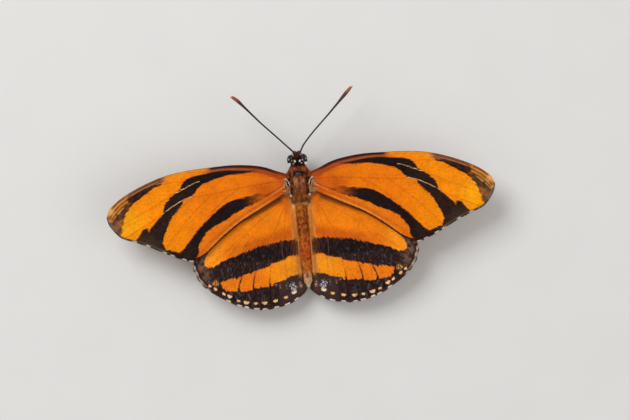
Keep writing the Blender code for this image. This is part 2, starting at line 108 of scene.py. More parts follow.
FOREWING_VEINS = {
    "costa": [(3.5, 1.9), (7.7, 3.9), (15, 5.05), (22, 4.9), (30, 4.05), (35, 2.5), (39.8, 0.3)],
    "subcosta": [(3.4, 1.3), (8, 3.1), (13, 4.1), (19, 4.25), (24, 4.5)],
    "radius": [(3.4, 0.9), (8, 2.2), (14, 3.1), (19, 3.2), (23.3, 2.1)],
    "radius_fork": [(23.3, 2.1), (28, 2.7), (33, 1.9), (38, 0.2), (43.2, -2.6)],
    "radius_last": [(33, 1.9), (38, -0.9), (44, -5)],
    "media_1": [(23.3, 2.1), (25, 1.5), (27, 0.7), (29, -0.2), (34, -2.7), (43.4, -7.1)],
    "media_2": [(24.7, -1.1), (27, -1.7), (30, -3.3), (34, -5.8), (41.1, -9.3)],
    "media_3": [(24.7, -1.1), (26.6, -2.7), (29, -5), (31.5, -7.7), (35.9, -11.5)],
    "cell_end": [(23.3, 2.1), (24.1, 0.4), (24.7, -1.1)],
    "cubitus": [(3.4, 0.7), (8, 0.6), (14, -0.05), (20, -0.8), (24.7, -1.1)],
    "cubitus_1": [(20, -0.8), (24, -4), (28, -8.1), (32.5, -13.1)],
    "cubitus_2": [(14, -0.05), (18, -2.7), (22, -6.6), (26, -11.3), (28.9, -14.7)],
    "anal": [(3.4, -1), (7, -3), (12, -5.3), (17, -8.4), (22, -12.2), (25.7, -15.5)],
}
HINDWING_VEINS = {
    "subcosta": [(3.4, -3), (8, -4.8), (14, -8.2), (20, -12.3), (25.5, -16.5)],
    "sector": [(8, -6.6), (13, -10.2), (19, -14.8), (25.3, -19.6)],
    "media_1": [(13, -10.2), (17, -14.7), (20.5, -18.6), (23.7, -21.9)],
    "media_2": [(12.2, -11.4), (15.3, -15.8), (18.2, -20.9), (20.4, -24.5)],
    "media_3": [(10.5, -12.2), (13, -16.7), (15.8, -22.2), (17, -26.6)],
    "cubitus_1": [(9.3, -12.3), (10.9, -16.7), (12.6, -22.5), (13.2, -27.8)],
    "cubitus_2": [(6.7, -10.5), (7.7, -16), (8.8, -22), (9, -28.1)],
    "anal": [(3.7, -5.2), (4.5, -12), (4.8, -20), (4.5, -27.2)],
    "cell_front": [(3.6, -4), (8, -6.6)],
    "cell_rear": [
        (3.6, -4.5), (5.2, -7.6), (6.7, -10.5), (9.3, -12.3), (10.5, -12.2), (12.2, -11.4), (13, -10.2),
    ],
}

# Dark markings of the upper side, as closed outlines that may run out past the margin
FOREWING_DARK = {
    "cell_band": [
        (9, 3.8), (12, 3.72), (16, 4.05), (20, 4), (22, 3.8), (24, 3.55), (25.6, 3), (26.5, 2.2),
        (27.1, 1.3), (27.6, 0.65), (28.5, 0), (29.9, -1.15), (30.7, -1.95), (31.2, -2.8), (31.35, -3.6),
        (31.6, -4.4), (32.8, -5.6), (34.5, -7.3), (35.2, -8.1), (35.4, -7.2), (36.3, -7.5), (36.9, -8.1),
        (37.4, -9.1), (38.2, -9.7), (39, -11.5), (31, -15.6), (27.5, -17), (28, -13.6), (30.2, -13),
        (31.7, -12.6), (31.9, -11.6), (32.25, -11.1), (31.8, -9.6), (31.1, -8.1), (30.3, -6.6),
        (29.5, -5.25), (28.3, -4.1), (26.9, -2.5), (26.7, -1.65), (24.7, -1.05), (24.1, -0.5), (23.3, 0.5),
        (22, 1.45), (20, 2.15), (18, 2.7), (16, 3.1), (12, 3.2), (9, 3.6),
    ],
    "rear_band": [
        (7, -1.9), (9, -1.6), (11, -1.9), (13, -2.3), (15, -2.6), (16.5, -2.95), (17.5, -3.5), (18.5, -4.2),
        (20, -5.35), (21.5, -6.6), (23, -7.9), (24.5, -9.3), (26, -11), (27.5, -12.7), (28.3, -13.5),
        (28.9, -16), (25.2, -17), (24.9, -15), (24.4, -14.4), (24, -13.4), (24.2, -12.7), (23.9, -12),
        (23, -10.6), (22, -9.5), (20.5, -8.5), (19, -7.75), (17.5, -7.1), (16, -6.2), (14, -5.2),
        (12.5, -4.5), (11, -4.1), (9, -3.3), (7, -2.6),
    ],
    "apical_patch": [
        (31.2, 2.6), (33.5, 2.25), (35.5, 1.55), (37.5, 0.7), (39, 0), (39.35, -0.6), (39, -1.5),
        (38.6, -1.75), (37.2, -0.95), (35.7, 0.05), (34.3, 0.9), (33, 1.7), (31.5, 2.15),
    ],
    "apical_stripe": [
        (38.3, -1.1), (39.9, -1.6), (41, -2.8), (42.3, -4.1), (43.3, -5.2), (45, -6), (44, -8), (42, -9.6),
        (41.6, -8.2), (41.1, -6.9), (40.6, -5.4), (40.3, -4.1), (39.4, -2.9), (38.3, -1.9),
    ],
}
HINDWING_DARK = {
    "median_band": [
        (-1, -12.9), (4, -12.9), (6, -13.1), (8, -13.5), (10, -13.6), (12, -14.2), (14, -14.85),
        (16, -15.4), (18, -16), (19.2, -16.5), (20.2, -17.1), (21.2, -17.5), (22.5, -17.5), (23.2, -17),
        (23.25, -16.3), (22.9, -15.4), (22.2, -14.4), (21.5, -13), (28, -12), (28, -24), (20.8, -23.4),
        (20.3, -22), (19.9, -21.2), (18.5, -20.8), (17.3, -20.5), (16.3, -20.75), (15.7, -20.5),
        (14, -19.85), (13, -19.75), (12, -19.3), (10, -18.85), (8.8, -18.65), (8, -18), (6, -17.6),
        (5, -17.25), (4, -16.7), (-1, -16.5),
    ],
    "margin": [
        (-1, -20.9), (2, -20.8), (4, -21.2), (5, -21.9), (7.5, -22.4), (8.5, -23.1), (8.72, -21.4),
        (9, -23.2), (12.3, -23.2), (12.52, -21.9), (12.8, -23.5), (15, -23.8), (15.6, -23.6),
        (15.85, -21.9), (16.2, -23.6), (18, -23.45), (19, -23.2), (19.7, -22.4), (19.9, -21.2), (22, -19),
        (28, -20), (26, -25), (20, -30), (10, -31), (-1, -28),
    ],
}
# Pale spots inside the hind margin: centre, half length along the margin
PALE_SPOTS = [
    ((3.4, -25), 0.62), ((5.35, -26), 0.45), ((7.9, -26.6), 0.5), ((10.3, -26.85), 0.55),
    ((12.4, -26.75), 0.45), ((14.5, -26.35), 0.6), ((16.3, -25.8), 0.45), ((18.3, -24.6), 0.6),
    ((19.5, -23.9), 0.45), ((21.3, -22.6), 0.45), ((22.5, -21.8), 0.4),
]
# Where the fringe is white, between the vein ends
HINDWING_WHITES = [
    (2.9, -26.7), (5.3, -27.4), (7.7, -28.1), (10.4, -28.2), (12.3, -28.1), (14.5, -27.3), (16.1, -26.9),
    (18.5, -25.5), (22.7, -22.5), (24.2, -20.9), (25.4, -18.8), (25.7, -16.9),
]
FOREWING_WHITES = [
    (26.2, -15.8), (27.7, -15.3), (30.3, -14.1), (32.1, -13.3), (35.6, -11.4), (38.6, -10.2),
]
# Dust of pale scales in the dark margin near the body and at the band's end: centre, reach, colour, strength
HIND_SMUDGES = [
    ((3.5, -23.7), (1.25, 1.4), (190, 184, 190), 0.84),
    ((4.9, -23.2), (0.5, 1.2), (118, 106, 110), 0.7),
    ((1.8, -23.4), (0.65, 1.1), (206, 158, 122), 0.85),
    ((6.5, -23.3), (0.3, 1), (196, 136, 92), 0.8),
    ((7.4, -23), (0.5, 0.6), (120, 118, 132), 0.7),
    ((21.2, -21.25), (1.2, 0.8), (226, 150, 62), 1.1),
    ((22.3, -20), (0.9, 0.5), (150, 110, 70), 0.6),
]
# Veins whose slits cut the pale band into spots, and how much farther off one of them counts
HINDWING_SLITS = (("media_3", 0), ("cubitus_1", 0), ("cubitus_2", 0.1))
FOREWING_PALE_LINES = [
    [(22.6, 2.3), (24, 1.9), (25.4, 1.3), (27, 0.6), (28.6, 0)],
    [(24.3, -0.95), (26, -1.4), (27.3, -1.85), (28.8, -2.7), (30, -3.35), (31.4, -4.25), (33, -5.4)],
]
APEX_STREAKS = [
    [(39, -1.1), (40.6, -2), (42, -3.2), (43.3, -4.7)],
    [(39.2, -0.4), (41.2, -1.6), (42.8, -3.1), (43.8, -4.4)],
    [(40, 0), (41.6, -0.9), (43, -2.2)],
]

# Body: rings of (y, centre z, half width, height above centre, depth below it), tail to head
BODY_RINGS = [
    (-23.75, 5.45, 0.05, 0.05, 0.05), (-23.3, 5.47, 0.42, 0.4, 0.42), (-22.5, 5.53, 0.74, 0.72, 0.76),
    (-21, 5.65, 0.95, 0.93, 0.98), (-18, 5.9, 1.18, 1.16, 1.27), (-14, 6.15, 1.31, 1.27, 1.42),
    (-10, 6.35, 1.34, 1.32, 1.42), (-7, 6.45, 1.28, 1.26, 1.32), (-5.5, 6.5, 1.14, 1.15, 1.15),
    (-4.9, 6.5, 1.18, 1.2, 1.15), (-4.2, 6.48, 1.45, 1.55, 1.4), (-3.4, 6.4, 1.72, 1.9, 1.78),
    (-2.2, 6.3, 1.96, 2.33, 2.2), (-0.5, 6.3, 2.04, 2.48, 2.35), (1, 6.38, 2.06, 2.2, 2.15),
    (1.9, 6.47, 1.95, 1.75, 1.75), (2.6, 6.5, 1.88, 1.45, 1.48), (3.2, 6.5, 1.75, 1.38, 1.4),
    (3.7, 6.52, 1.58, 1.2, 1.2), (4.05, 6.55, 1.36, 1.08, 1.08), (4.35, 6.6, 1.38, 1.12, 1.12),
    (4.8, 6.7, 1.42, 1.28, 1.32), (5.35, 6.7, 1.44, 1.3, 1.35), (5.9, 6.6, 1.3, 1.12, 1.17),
    (6.3, 6.5, 0.8, 0.75, 0.8), (6.5, 6.48, 0.4, 0.38, 0.4), (6.56, 6.48, 0.05, 0.05, 0.05),
]
BODY_GRID = (620, 96)
ABDOMEN_GROOVES_Y = [-6.7, -9.4, -12.2, -14.9, -17.4, -19.6, -21.6]

# Fur and scales: stretch along the body, and number
COATS = [
    ("thorax_coat", -5.4, 4.2, 11500), ("head_coat", 3.9, 6.5, 4200), ("face_coat", 6.2, 6.56, 900),
    ("abdomen_coat", -23.7, -5.2, 15000),
]
# A hair's faces over its seven points, each point's painted shade (darker at the root, lighter at the tip),
# and its place on the unwrap
SPIKE_FACES = [(0, 1, 4), (0, 4, 3), (1, 2, 5), (1, 5, 4), (2, 0, 3), (2, 3, 5), (3, 4, 6), (4, 5, 6),
               (5, 3, 6), (0, 2, 1)]
SPIKE_PAINTED_SHADE = (0.75, 0.75, 0.75, 1, 1, 1, 1.2)
SPIKE_UNWRAP = [(-1, -1), (1, -1), (0, 1), (-0.6, -0.6), (0.6, -0.6), (0, 0.6), (0, 0)]
SPIKE_PATCH = 0.0015

EYE_CENTRE = (1.43, 5.27, 6.8)
EYE_RADII = (0.93, 1.24, 1.28)
EYE_GRID = (60, 96)
# Painted highlights on the eyes, and the white dot of scales at each eye's rear edge, seen from above: place,
# reach, colour
EYE_HIGHLIGHTS_AND_DOTS = [
    ((1.98, 5.38), 0.34, (150, 158, 162)), ((1.2, 5.75), 0.3, (88, 80, 92)),
    ((1.81, 4.38), 0.36, (255, 252, 246)), ((1.2, 5.12), 0.18, (214, 214, 218)),
    ((1.95, 5.85), 0.3, (66, 72, 86)), ((1.5, 4.75), 0.2, (120, 110, 112)),
]

ANTENNA_PATHS = {
    "right": [
        (0.5, 6, 7.6), (0.55, 6.4, 8), (0.99, 7.15, 8.2), (1.83, 8.58, 8.5), (4.18, 11.19, 8.9),
        (7.74, 14.61, 9.4), (10.32, 17.18, 9.8), (12.6, 19.5, 10.05), (14.15, 21, 10.15),
    ],
    "left": [
        (-0.5, 6, 7.6), (-0.55, 6.4, 8), (-0.78, 7.1, 8.2), (-2.3, 8.75, 8.5), (-4.7, 11.3, 8.9),
        (-7.6, 14.35, 9.3), (-10.69, 17.9, 9.8), (-12.6, 20, 10.05), (-14.05, 21, 10.15),
    ],
}
ANTENNA_RADII = [0.24, 0.22, 0.19, 0.18, 0.18, 0.19, 0.26, 0.42, 0.2]
PALP_PATH = [(0.9, 5.75, 4.75), (0.7, 6.45, 4.95), (0.52, 6.9, 5.7), (0.42, 6.98, 6.7)]
PALP_RADII = [0.26, 0.32, 0.3, 0.1]
# Sides and rings of each tube, and number of its hairs
ANTENNA_GRID = (20, 260)
PALP_GRID = (20, 60)
FORELEG_GRID = (18, 60)
LEG_GRID = (18, 150)
CLAW_GRID = (12, 30)
COIL_GRID = (18, 240)
ANTENNA_HAIRS = 1500
PALP_HAIRS = 900
FORELEG_HAIRS = 700
LEG_HAIRS = 1600
# Depth and number of the swellings along a feeler and along the coil
ANTENNA_SEGMENTS = (0.035, 42)
COIL_RINGS = (0.04, 90)
PALP_TONES = ((158, 108, 92), (84, 44, 36), (214, 180, 164))
ANTENNA_TONES = ((40, 28, 23), (24, 17, 15), (96, 70, 56))
LEG_TONES = ((150, 98, 60), (78, 46, 28), (206, 168, 126))
COIL_ROOT = (0, 5, 5.3)
COIL_CENTRE = (5.15, 3.95)
COIL_INNER_RADIUS = 0.4
COIL_OUTER_RADIUS = 1.05
COIL_TURNS = 1.35
COIL_START_DEG = 100
COIL_POINTS = 40
COIL_TUBE_RADIUS = 0.23
FORELEG_PATH = [(0.85, 1.9, 3.85), (1.25, 3, 3.65), (1.2, 4, 4), (0.95, 4.7, 4.5)]
FORELEG_RADII = [0.28, 0.25, 0.22, 0.14]
LEG_JOINTS = {
    "mid": [(1.25, -0.4, 4.2), (1.35, -0.4, 3.6), (4.7, 0.8, 4.5), (6.9, 2.3, 1.3), (9.2, 3.9, 0.24)],
    "hind": [(1.1, -2.7, 4.4), (1.2, -2.7, 3.75), (3.9, -4.9, 4.6), (5.4, -9.2, 1.35), (6.7, -13.3, 0.24)],
}
LEG_RADII = [0.25, 0.3, 0.34, 0.27, 0.25, 0.26, 0.2, 0.2, 0.2, 0.2]
# A claw's bend: aside, forward and up from the toe
CLAW_BEND = ((0.1, -0.1, 0), (0.16, 0.22, 0.05), (0.13, 0.42, -0.14))
CLAW_RADII = [0.08, 0.06, 0.02]

# Shoulder plate over each forewing's root
PLATE_HAIRS = 760
PLATE_GRID = (40, 48)
PLATE_CENTRE = (2.2, 1.75, 7.45)
PLATE_RADII = (0.62, 0.95, 0.5)
# Tufts at the wing roots: centre, reach, height, number, lie, length, two tones
BASE_TUFTS = [
    ((2.2, 1.75), (0.6, 0.95), 7.75, 300, (0.4, -1, 0), 0.55, (190, 92, 36), (84, 36, 20)),
    ((2, 2.75), (0.36, 0.6), 7.05, 170, (0.35, -1, 0), 0.5, (196, 96, 42), (110, 46, 28)),
    ((2.65, 0.15), (0.38, 0.65), 8, 260, (0.3, -0.9, 0), 0.3, (18, 14, 12), (44, 32, 28)),
    ((2.3, 0.9), (0.26, 0.36), 8, 80, (0.4, -0.8, 0), 0.3, (30, 18, 14), (96, 46, 28)),
    ((2.6, -0.9), (0.6, 0.7), 7.87, 60, (1.6, -0.5, 0), 0.8, (206, 128, 58), (112, 58, 28)),
    ((2.3, -1.7), (0.4, 0.8), 7.82, 60, (1.2, -0.9, 0), 0.7, (196, 132, 62), (84, 40, 22)),
    ((2.4, -2.3), (0.4, 0.4), 7.72, 40, (1.6, -0.4, -0.1), 0.9, (214, 140, 72), (140, 80, 40)),
    ((2, -2.1), (0.28, 0.36), 7.86, 100, (0.1, -1, 0), 0.3, (26, 14, 10), (60, 34, 22)),
    ((2.14, -2.75), (0.2, 0.26), 7.9, 110, (0.1, -1, 0), 0.3, (255, 232, 206), (255, 222, 186)),
    ((1.88, 4.38), (0.27, 0.25), 7.62, 240, (0.3, -0.5, 0), 0.16, (255, 255, 252), (255, 252, 246)),
    ((0.91, 4.47), (0.2, 0.15), 7.86, 90, (0.2, -0.5, 0), 0.16, (244, 196, 176), (206, 140, 116)),
    ((0.55, 4.93), (0.2, 0.2), 8.12, 150, (0.2, -0.4, 0), 0.15, (255, 255, 252), (255, 255, 252)),
    ((0.64, 6.1), (0.26, 0.13), 7.35, 64, (0.5, 0.6, 0.2), 0.26, (255, 210, 196), (196, 128, 112)),
    ((1.35, -3.5), (0.3, 0.3), 7.75, 40, (0.2, -1, 0), 0.35, (255, 214, 170), (200, 130, 90)),
]
# Pale lines of scales there: path, number, scatter, width, tone
BASE_LINES = [
    ([(3.2, 1.25, 8.05), (2.75, 0.75, 8.14), (2.42, 0.3, 8.16), (2.25, -0.4, 8.1)], 160, 0.035, 0.025,
     (255, 240, 226)),
    ([(3, 0.45, 8.12), (2.95, 0, 8.16), (2.8, -0.6, 8.1)], 54, 0.05, 0.02, (255, 230, 200)),
    ([(3.25, 0.75, 8.05), (3.3, 0.2, 8.08), (3.6, -0.5, 8.04), (4.3, -1, 8.02)], 70, 0.06, 0.019,
     (255, 206, 150)),
    ([(2, -3.3, 7.2), (3, -2.75, 7.2), (4.2, -2.55, 7.15), (5.4, -2.8, 7.15)], 100, 0.08, 0.019,
     (255, 204, 142)),
    ([(2.35, -0.9, 8.04), (2.7, -1.3, 8.02), (3.3, -1.6, 7.98), (3.9, -1.7, 7.95)], 60, 0.03, 0.019,
     (246, 208, 164)),
    ([(2.3, -1.3, 8.02), (2.35, -1.8, 8), (2.28, -2.3, 7.98)], 44, 0.03, 0.019, (246, 208, 164)),
    ([(2.5, -2, 7.96), (3.1, -2.25, 7.92), (3.9, -2.2, 7.86)], 48, 0.03, 0.018, (246, 204, 156)),
    ([(2.7, 0.05, 8.14), (3.15, -0.25, 8.12), (3.55, -0.8, 8.06)], 30, 0.03, 0.018, (250, 214, 176)),
    ([(2.9, 0.8, 8.1), (3.3, 0.95, 8.06), (3.9, 0.85, 8.04)], 40, 0.03, 0.018, (255, 196, 140)),
]

# Camera: straight down on the wings, turned as the photo is
ROLL_DEG = 5.15
VIEW_CENTRE = (3.03, -6.59)
VIEW_WIDTH = 144
VIEW_HEIGHT_Z = 8
CAMERA_DISTANCE = 600
SENSOR_WIDTH = 36
FLOOR_REACH = 1.5
FLOOR_TONES = ((0.7, 0.7, 0.69), (0.74, 0.74, 0.73))
# Soft lamps: name, place and size in metres, power
LAMPS = (("key", (-0.35, 0.45, 0.7), 0.5, 5), ("fill", (0.6, -0.3, 0.6), 0.8, 1.8))


def srgb(*values):
    """Linear light from a colour given as 0 to 255."""
    values = np.array(values, float) / 255
    return np.where(values <= 0.04045, values / 12.92, ((values + 0.055) / 1.055) ** 2.4)


def smooth(low, high, value):
    """0 below low, 1 above high, and a soft step between."""
    share = np.clip((value - low) / (high - low), 0, 1)
    return share * share * (3 - 2 * share)


def fade(low, high, value):
    """1 below low, 0 above high, and a soft step between."""
    return 1 - smooth(low, high, value)


def bell(value, place, width):
    """1 at a place, falling off softly to both sides."""
    return np.exp(-((value - place) / width) ** 2)


def columns(*parts):
    """Rows made of one value from each part. A part may be a single number."""
    return np.stack(np.broadcast_arrays(*parts), axis=-1)


def lengths(vectors):
    """Length of each vector, as a column."""
    return np.linalg.norm(vectors, axis=-1, keepdims=True)


def unit(vectors):
    """The vectors at length one."""
    return vectors / lengths(vectors)


def rows_of(value, count):
    """One value repeated as rows."""
    return np.tile(value, (count, 1))


def spline(points, per_run=12, closed=False):
    """Points along a smooth curve through the given ones, the same number in each run between two."""
    knots = np.array(points, float)
    count = len(knots)
    t = (np.arange(per_run) / per_run)[:, None]
    runs = []
    for i in range(count if closed else count - 1):
        b = knots[i]
        c = knots[(i + 1) % count]
        a = knots[i - 1] if closed or i > 0 else b
        d = knots[(i + 2) % count] if closed or i + 2 < count else c
        runs.append(0.5 * (2 * b + (c - a) * t + (2 * a - 5 * b + 4 * c - d) * t * t
                           + (3 * b - a - 3 * c + d) * t ** 3))
    if not closed:
        runs.append(knots[-1:])
    return np.concatenate(runs)


def even(path, count):
    """The path as count points at equal steps along it."""
    along = np.concatenate([[0], np.cumsum(np.linalg.norm(np.diff(path, axis=0), axis=1))])
    wanted = np.linspace(0, along[-1], count)
    return columns(*(np.interp(wanted, along, line) for line in path.T))


def distance(points, path):
    """Distance of each flat point from an open line of points."""
    nearest = np.full(len(points), 1e9)
    for a, b in zip(path[:-1], path[1:]):
        run = b - a
        length = float(run @ run)
        if length < 1e-12:
            continue
        share = np.clip((points - a) @ run / length, 0, 1)
        gap = points - a - share[:, None] * run
        nearest = np.minimum(nearest, np.einsum("ij,ij->i", gap, gap))
    return np.sqrt(nearest)


def off_curve(points, path):
    """Distance of each flat point from the curve through a few points."""
    return distance(points, spline(path, 6))


def off_veins(points, veins):
    """Distance of each plan point from the closest vein."""
    return np.min([off_curve(points, line) for line in veins.values()], axis=0)


def depth_in(points, outline):
    """How far each flat point lies inside a closed outline, and below zero outside it."""
    closed = np.array([*outline, outline[0]], float)
    x, y = points.T
    within = np.zeros(len(points), bool)
    for a, b in zip(closed[:-1], closed[1:]):
        if a[1] != b[1]:
            within ^= ((a[1] > y) != (b[1] > y)) & (x < a[0] + (y - a[1]) * (b[0] - a[0]) / (b[1] - a[1]))
    return distance(points, closed) * np.where(within, 1, -1)


def depth_in_any(points, outlines):
    """The same for the outline that holds each point deepest, cut off well outside all of them."""
    return np.max([depth_in(points, outline) for outline in outlines.values()], axis=0, initial=-FAR_OFF)


def soft_noise(points, step, seed):
    """Soft random values from 0 to 1, in blots about one step wide."""
    table = np.random.default_rng(SEED + seed).random(4096)
    axes = range(points.shape[1])
    cell = np.floor(points / step).astype(int)
    part = points / step - cell
    part = part * part * (3 - 2 * part)
    total = np.zeros(len(points))
    for corner in range(2 ** len(axes)):
        far = [(corner >> k) & 1 for k in axes]
        key = sum((cell[:, k] + far[k]) * (73, 179, 283)[k] for k in axes)
        weight = np.prod([part[:, k] if far[k] else 1 - part[:, k] for k in axes], axis=0)
        total += weight * table[key % len(table)]
    return total


def blots(points, step, seed, cover=0.5):
    """1 in ragged blots that cover about the given share of a surface, 0 between them."""
    mixed = (2 * soft_noise(points, step, seed) + soft_noise(points, 0.5 * step, seed + 1)) / 3
    middle = 0.5 + 0.36 * (0.5 - cover)
    return smooth(middle - 0.07, middle + 0.07, mixed)


def off_point(points, centre):
    """Distance of each point from one place."""
    return np.linalg.norm(points - np.array(centre), axis=1)


def ball(points, centre, radius):
    """A soft round share, 1 at its centre and 0 at the radius."""
    return fade(0, radius, off_point(points, centre))


def over(base, colour, share):
    """A colour laid over others by a share at each point."""
    share = share[:, None]
    return base * (1 - share) + np.asarray(colour) * share


class Paint:
    """A colour at each point, with others laid over it by shares."""

    def __init__(self, count, *colour):
        self.rgb = rows_of(srgb(*colour), count)

    def lay(self, red, green, blue, share):
        self.rgb = over(self.rgb, srgb(red, green, blue), share)
        return self.rgb


def add_object(name, data):
    """A new object in the scene."""
    made = bpy.data.objects.new(name, data)
    bpy.context.collection.objects.link(made)
    return made


def make_object(name, vertices, faces, material):
    """An object from points in millimetres of the plan's own axes."""
    mesh = bpy.data.meshes.new(name)
    moved = (np.asarray(vertices, float) + (0, SHIFT_Y, 0)) * MM
    mesh.from_pydata(moved.tolist(), [], [tuple(map(int, f)) for f in faces])
    mesh.materials.append(material)
    mesh.shade_smooth()
    return add_object(name, mesh)


def add_values(piece, name, values):
    """A number at each point, for the material to read."""
    layer = piece.data.attributes.new(name, "FLOAT", "POINT")
    layer.data.foreach_set("value", np.asarray(values, np.float32))


def add_colours(piece, name, colours):
    """A colour at each point, for the material to read."""
    layer = piece.data.attributes.new(name, "FLOAT_COLOR", "POINT")
    layer.data.foreach_set("color", columns(*colours.T, 1).astype(np.float32).ravel())


def add_unwrap(piece, name, flat):
    """A UV map that gives each point one place."""
    corner = np.zeros(len(piece.data.loops), np.int32)
    piece.data.loops.foreach_get("vertex_index", corner)
    layer = piece.data.uv_layers.new(name=name)
    layer.data.foreach_set("uv", flat[corner].astype(np.float32).ravel())


def ring_points(run, sides):
    """Each value along a run with each angle round it, ring by ring."""
    turns = np.linspace(0, FULL_TURN, sides, endpoint=False)
    return (g.ravel() for g in np.meshgrid(run, turns, indexing="ij"))


def dome_grid(rings, sides):
    """Lean and turn of the points of a ball, in rings that leave a small gap at both poles."""
    return ring_points(np.linspace(0.02, math.pi - 0.02, rings), sides)


def dome_points(lean, turn):
    """Points on a ball of radius one, by their lean from its pole and their turn round it."""
    return columns(np.cos(lean), np.sin(lean) * np.cos(turn), np.sin(lean) * np.sin(turn))


def ring_faces(rings, sides, flip=False):
    """Faces of a closed skin over rings of points, with both ends capped."""
    r, k = np.meshgrid(np.arange(rings - 1), np.arange(sides), indexing="ij")
    a = (r * sides + k).ravel()
    b = (r * sides + (k + 1) % sides).ravel()
    faces = columns(a, b, b + sides, a + sides).tolist()
    faces.append(list(range(sides))[::-1])
    faces.append(list(range((rings - 1) * sides, rings * sides)))
    return [face[::-1] for face in faces] if flip else faces


def grid_faces(rows, along, start, flip):
    """Quads over a grid of points that are stored row by row."""
    r, c = np.meshgrid(np.arange(rows - 1), np.arange(along - 1), indexing="ij")
    a = (start + r * along + c).ravel()
    quads = columns(a, a + 1, a + along + 1, a + along)
    return quads[:, ::-1] if flip else quads


def spikes(name, roots, normals, lie, length, width, lean, colours, patch, material, slot, keep=slice(None)):
    """Tapered three-sided hairs, each bent from its normal towards its lie."""
    length, width, lift = (np.broadcast_to(value, len(roots))[keep, None] for value in (length, width, lean))
    normals = np.broadcast_to(normals, roots.shape)
    roots, normals, lie, colours, patch = (rows[keep] for rows in (roots, normals, lie, colours, patch))
    count = len(roots)
    lie = lie - normals * np.einsum("ij,ij->i", lie, normals)[:, None]
    lie /= np.maximum(lengths(lie), 1e-9)
    side = np.cross(normals, lie)
    middle = roots + length * 0.5 * (normals * (0.25 + lift) + lie * (0.9 - 0.5 * lift))
    tip = roots + length * (normals * (0.15 + lift) + lie * (1 - 0.4 * lift))
    vertices = np.zeros((count, 7, 3))
    for k in range(3):
        turn = FULL_TURN * k / 3
        out = side * math.cos(turn) + normals * math.sin(turn) * 0.6
        vertices[:, k] = roots - normals * 0.04 + out * width
        vertices[:, 3 + k] = middle + out * width * 0.75
    vertices[:, 6] = tip
    faces = (np.array(SPIKE_FACES) + 7 * np.arange(count)[:, None, None]).reshape(-1, 3)
    piece = make_object(name, vertices.reshape(-1, 3), faces, material)
    # Painted shade at each hair's root and painted light at its tip
    shaded = colours[:, None, :] * np.array(SPIKE_PAINTED_SHADE)[:, None]
    add_colours(piece, "tone", np.clip(shaded.reshape(-1, 3), 0, 1))
    spread = SPIKE_PATCH * np.array(SPIKE_UNWRAP)
    add_unwrap(piece, "OFBake", (patch[:, None, :] + spread).reshape(-1, 2))
    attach(piece, "root")


class Nodes:
    """Short calls for building one material."""

    def __init__(self, name, roughness, specular=0.5):
        self.material = bpy.data.materials.new(name)
        self.material.use_nodes = True
        self.tree = self.material.node_tree
        self.shader = self.tree.nodes["Principled BSDF"]
        self.shader.inputs["Roughness"].default_value = roughness
        self.shader.inputs["Specular IOR Level"].default_value = specular

    def feed(self, value, target):
        if isinstance(value, bpy.types.NodeSocket):
            self.tree.links.new(value, target)
        else:
            target.default_value = value

    def node(self, kind, values=(), **settings):
        made = self.tree.nodes.new(kind)
        for key, value in settings.items():
            setattr(made, key, value)
        for key, value in dict(values).items():
            self.feed(value, made.inputs[key])
        return made

    def plus(self, a, b):
        return self.node("ShaderNodeMath", {0: a, 1: b}, operation="ADD").outputs[0]

    def times(self, a, b):
        return self.node("ShaderNodeMath", {0: a, 1: b}, operation="MULTIPLY").outputs[0]

    def mix(self, share, a, b, how="MIX"):
        a, b = (value if isinstance(value, bpy.types.NodeSocket) else (*value, 1) for value in (a, b))
        return self.node("ShaderNodeMix", {0: share, 6: a, 7: b}, data_type="RGBA", blend_type=how).outputs[2]

    def step(self, value, low, high):
        return self.node("ShaderNodeMapRange", {"Value": value, "From Min": low, "From Max": high},
                         interpolation_type="SMOOTHSTEP").outputs["Result"]

    def number(self, name):
        return self.node("ShaderNodeAttribute", attribute_name=name).outputs["Fac"]

    def colour(self, name):
        return self.node("ShaderNodeAttribute", attribute_name=name).outputs["Color"]

    def place(self):
        return self.node("ShaderNodeTexCoord").outputs["Object"]

    def scaled(self, vector, *scale):
        return self.node("ShaderNodeMapping", {"Vector": vector, "Scale": scale}).outputs["Vector"]

    def noise(self, vector, scale, detail=2):
        made = self.node("ShaderNodeTexNoise", {"Vector": vector, "Scale": scale, "Detail": detail})
        return made.outputs["Fac"]

    def cells(self, vector, scale, output="Distance"):
        return self.node("ShaderNodeTexVoronoi", {"Vector": vector, "Scale": scale}).outputs[output]

    def dress(self, colour, height, strength, reach):
        """Feeds the shader its colour and its bump, and hands back the material."""
        self.feed(colour, self.shader.inputs["Base Color"])
        bump = self.node("ShaderNodeBump", {"Strength": strength, "Distance": reach, "Height": height})
        self.feed(bump.outputs["Normal"], self.shader.inputs["Normal"])
        return self.material


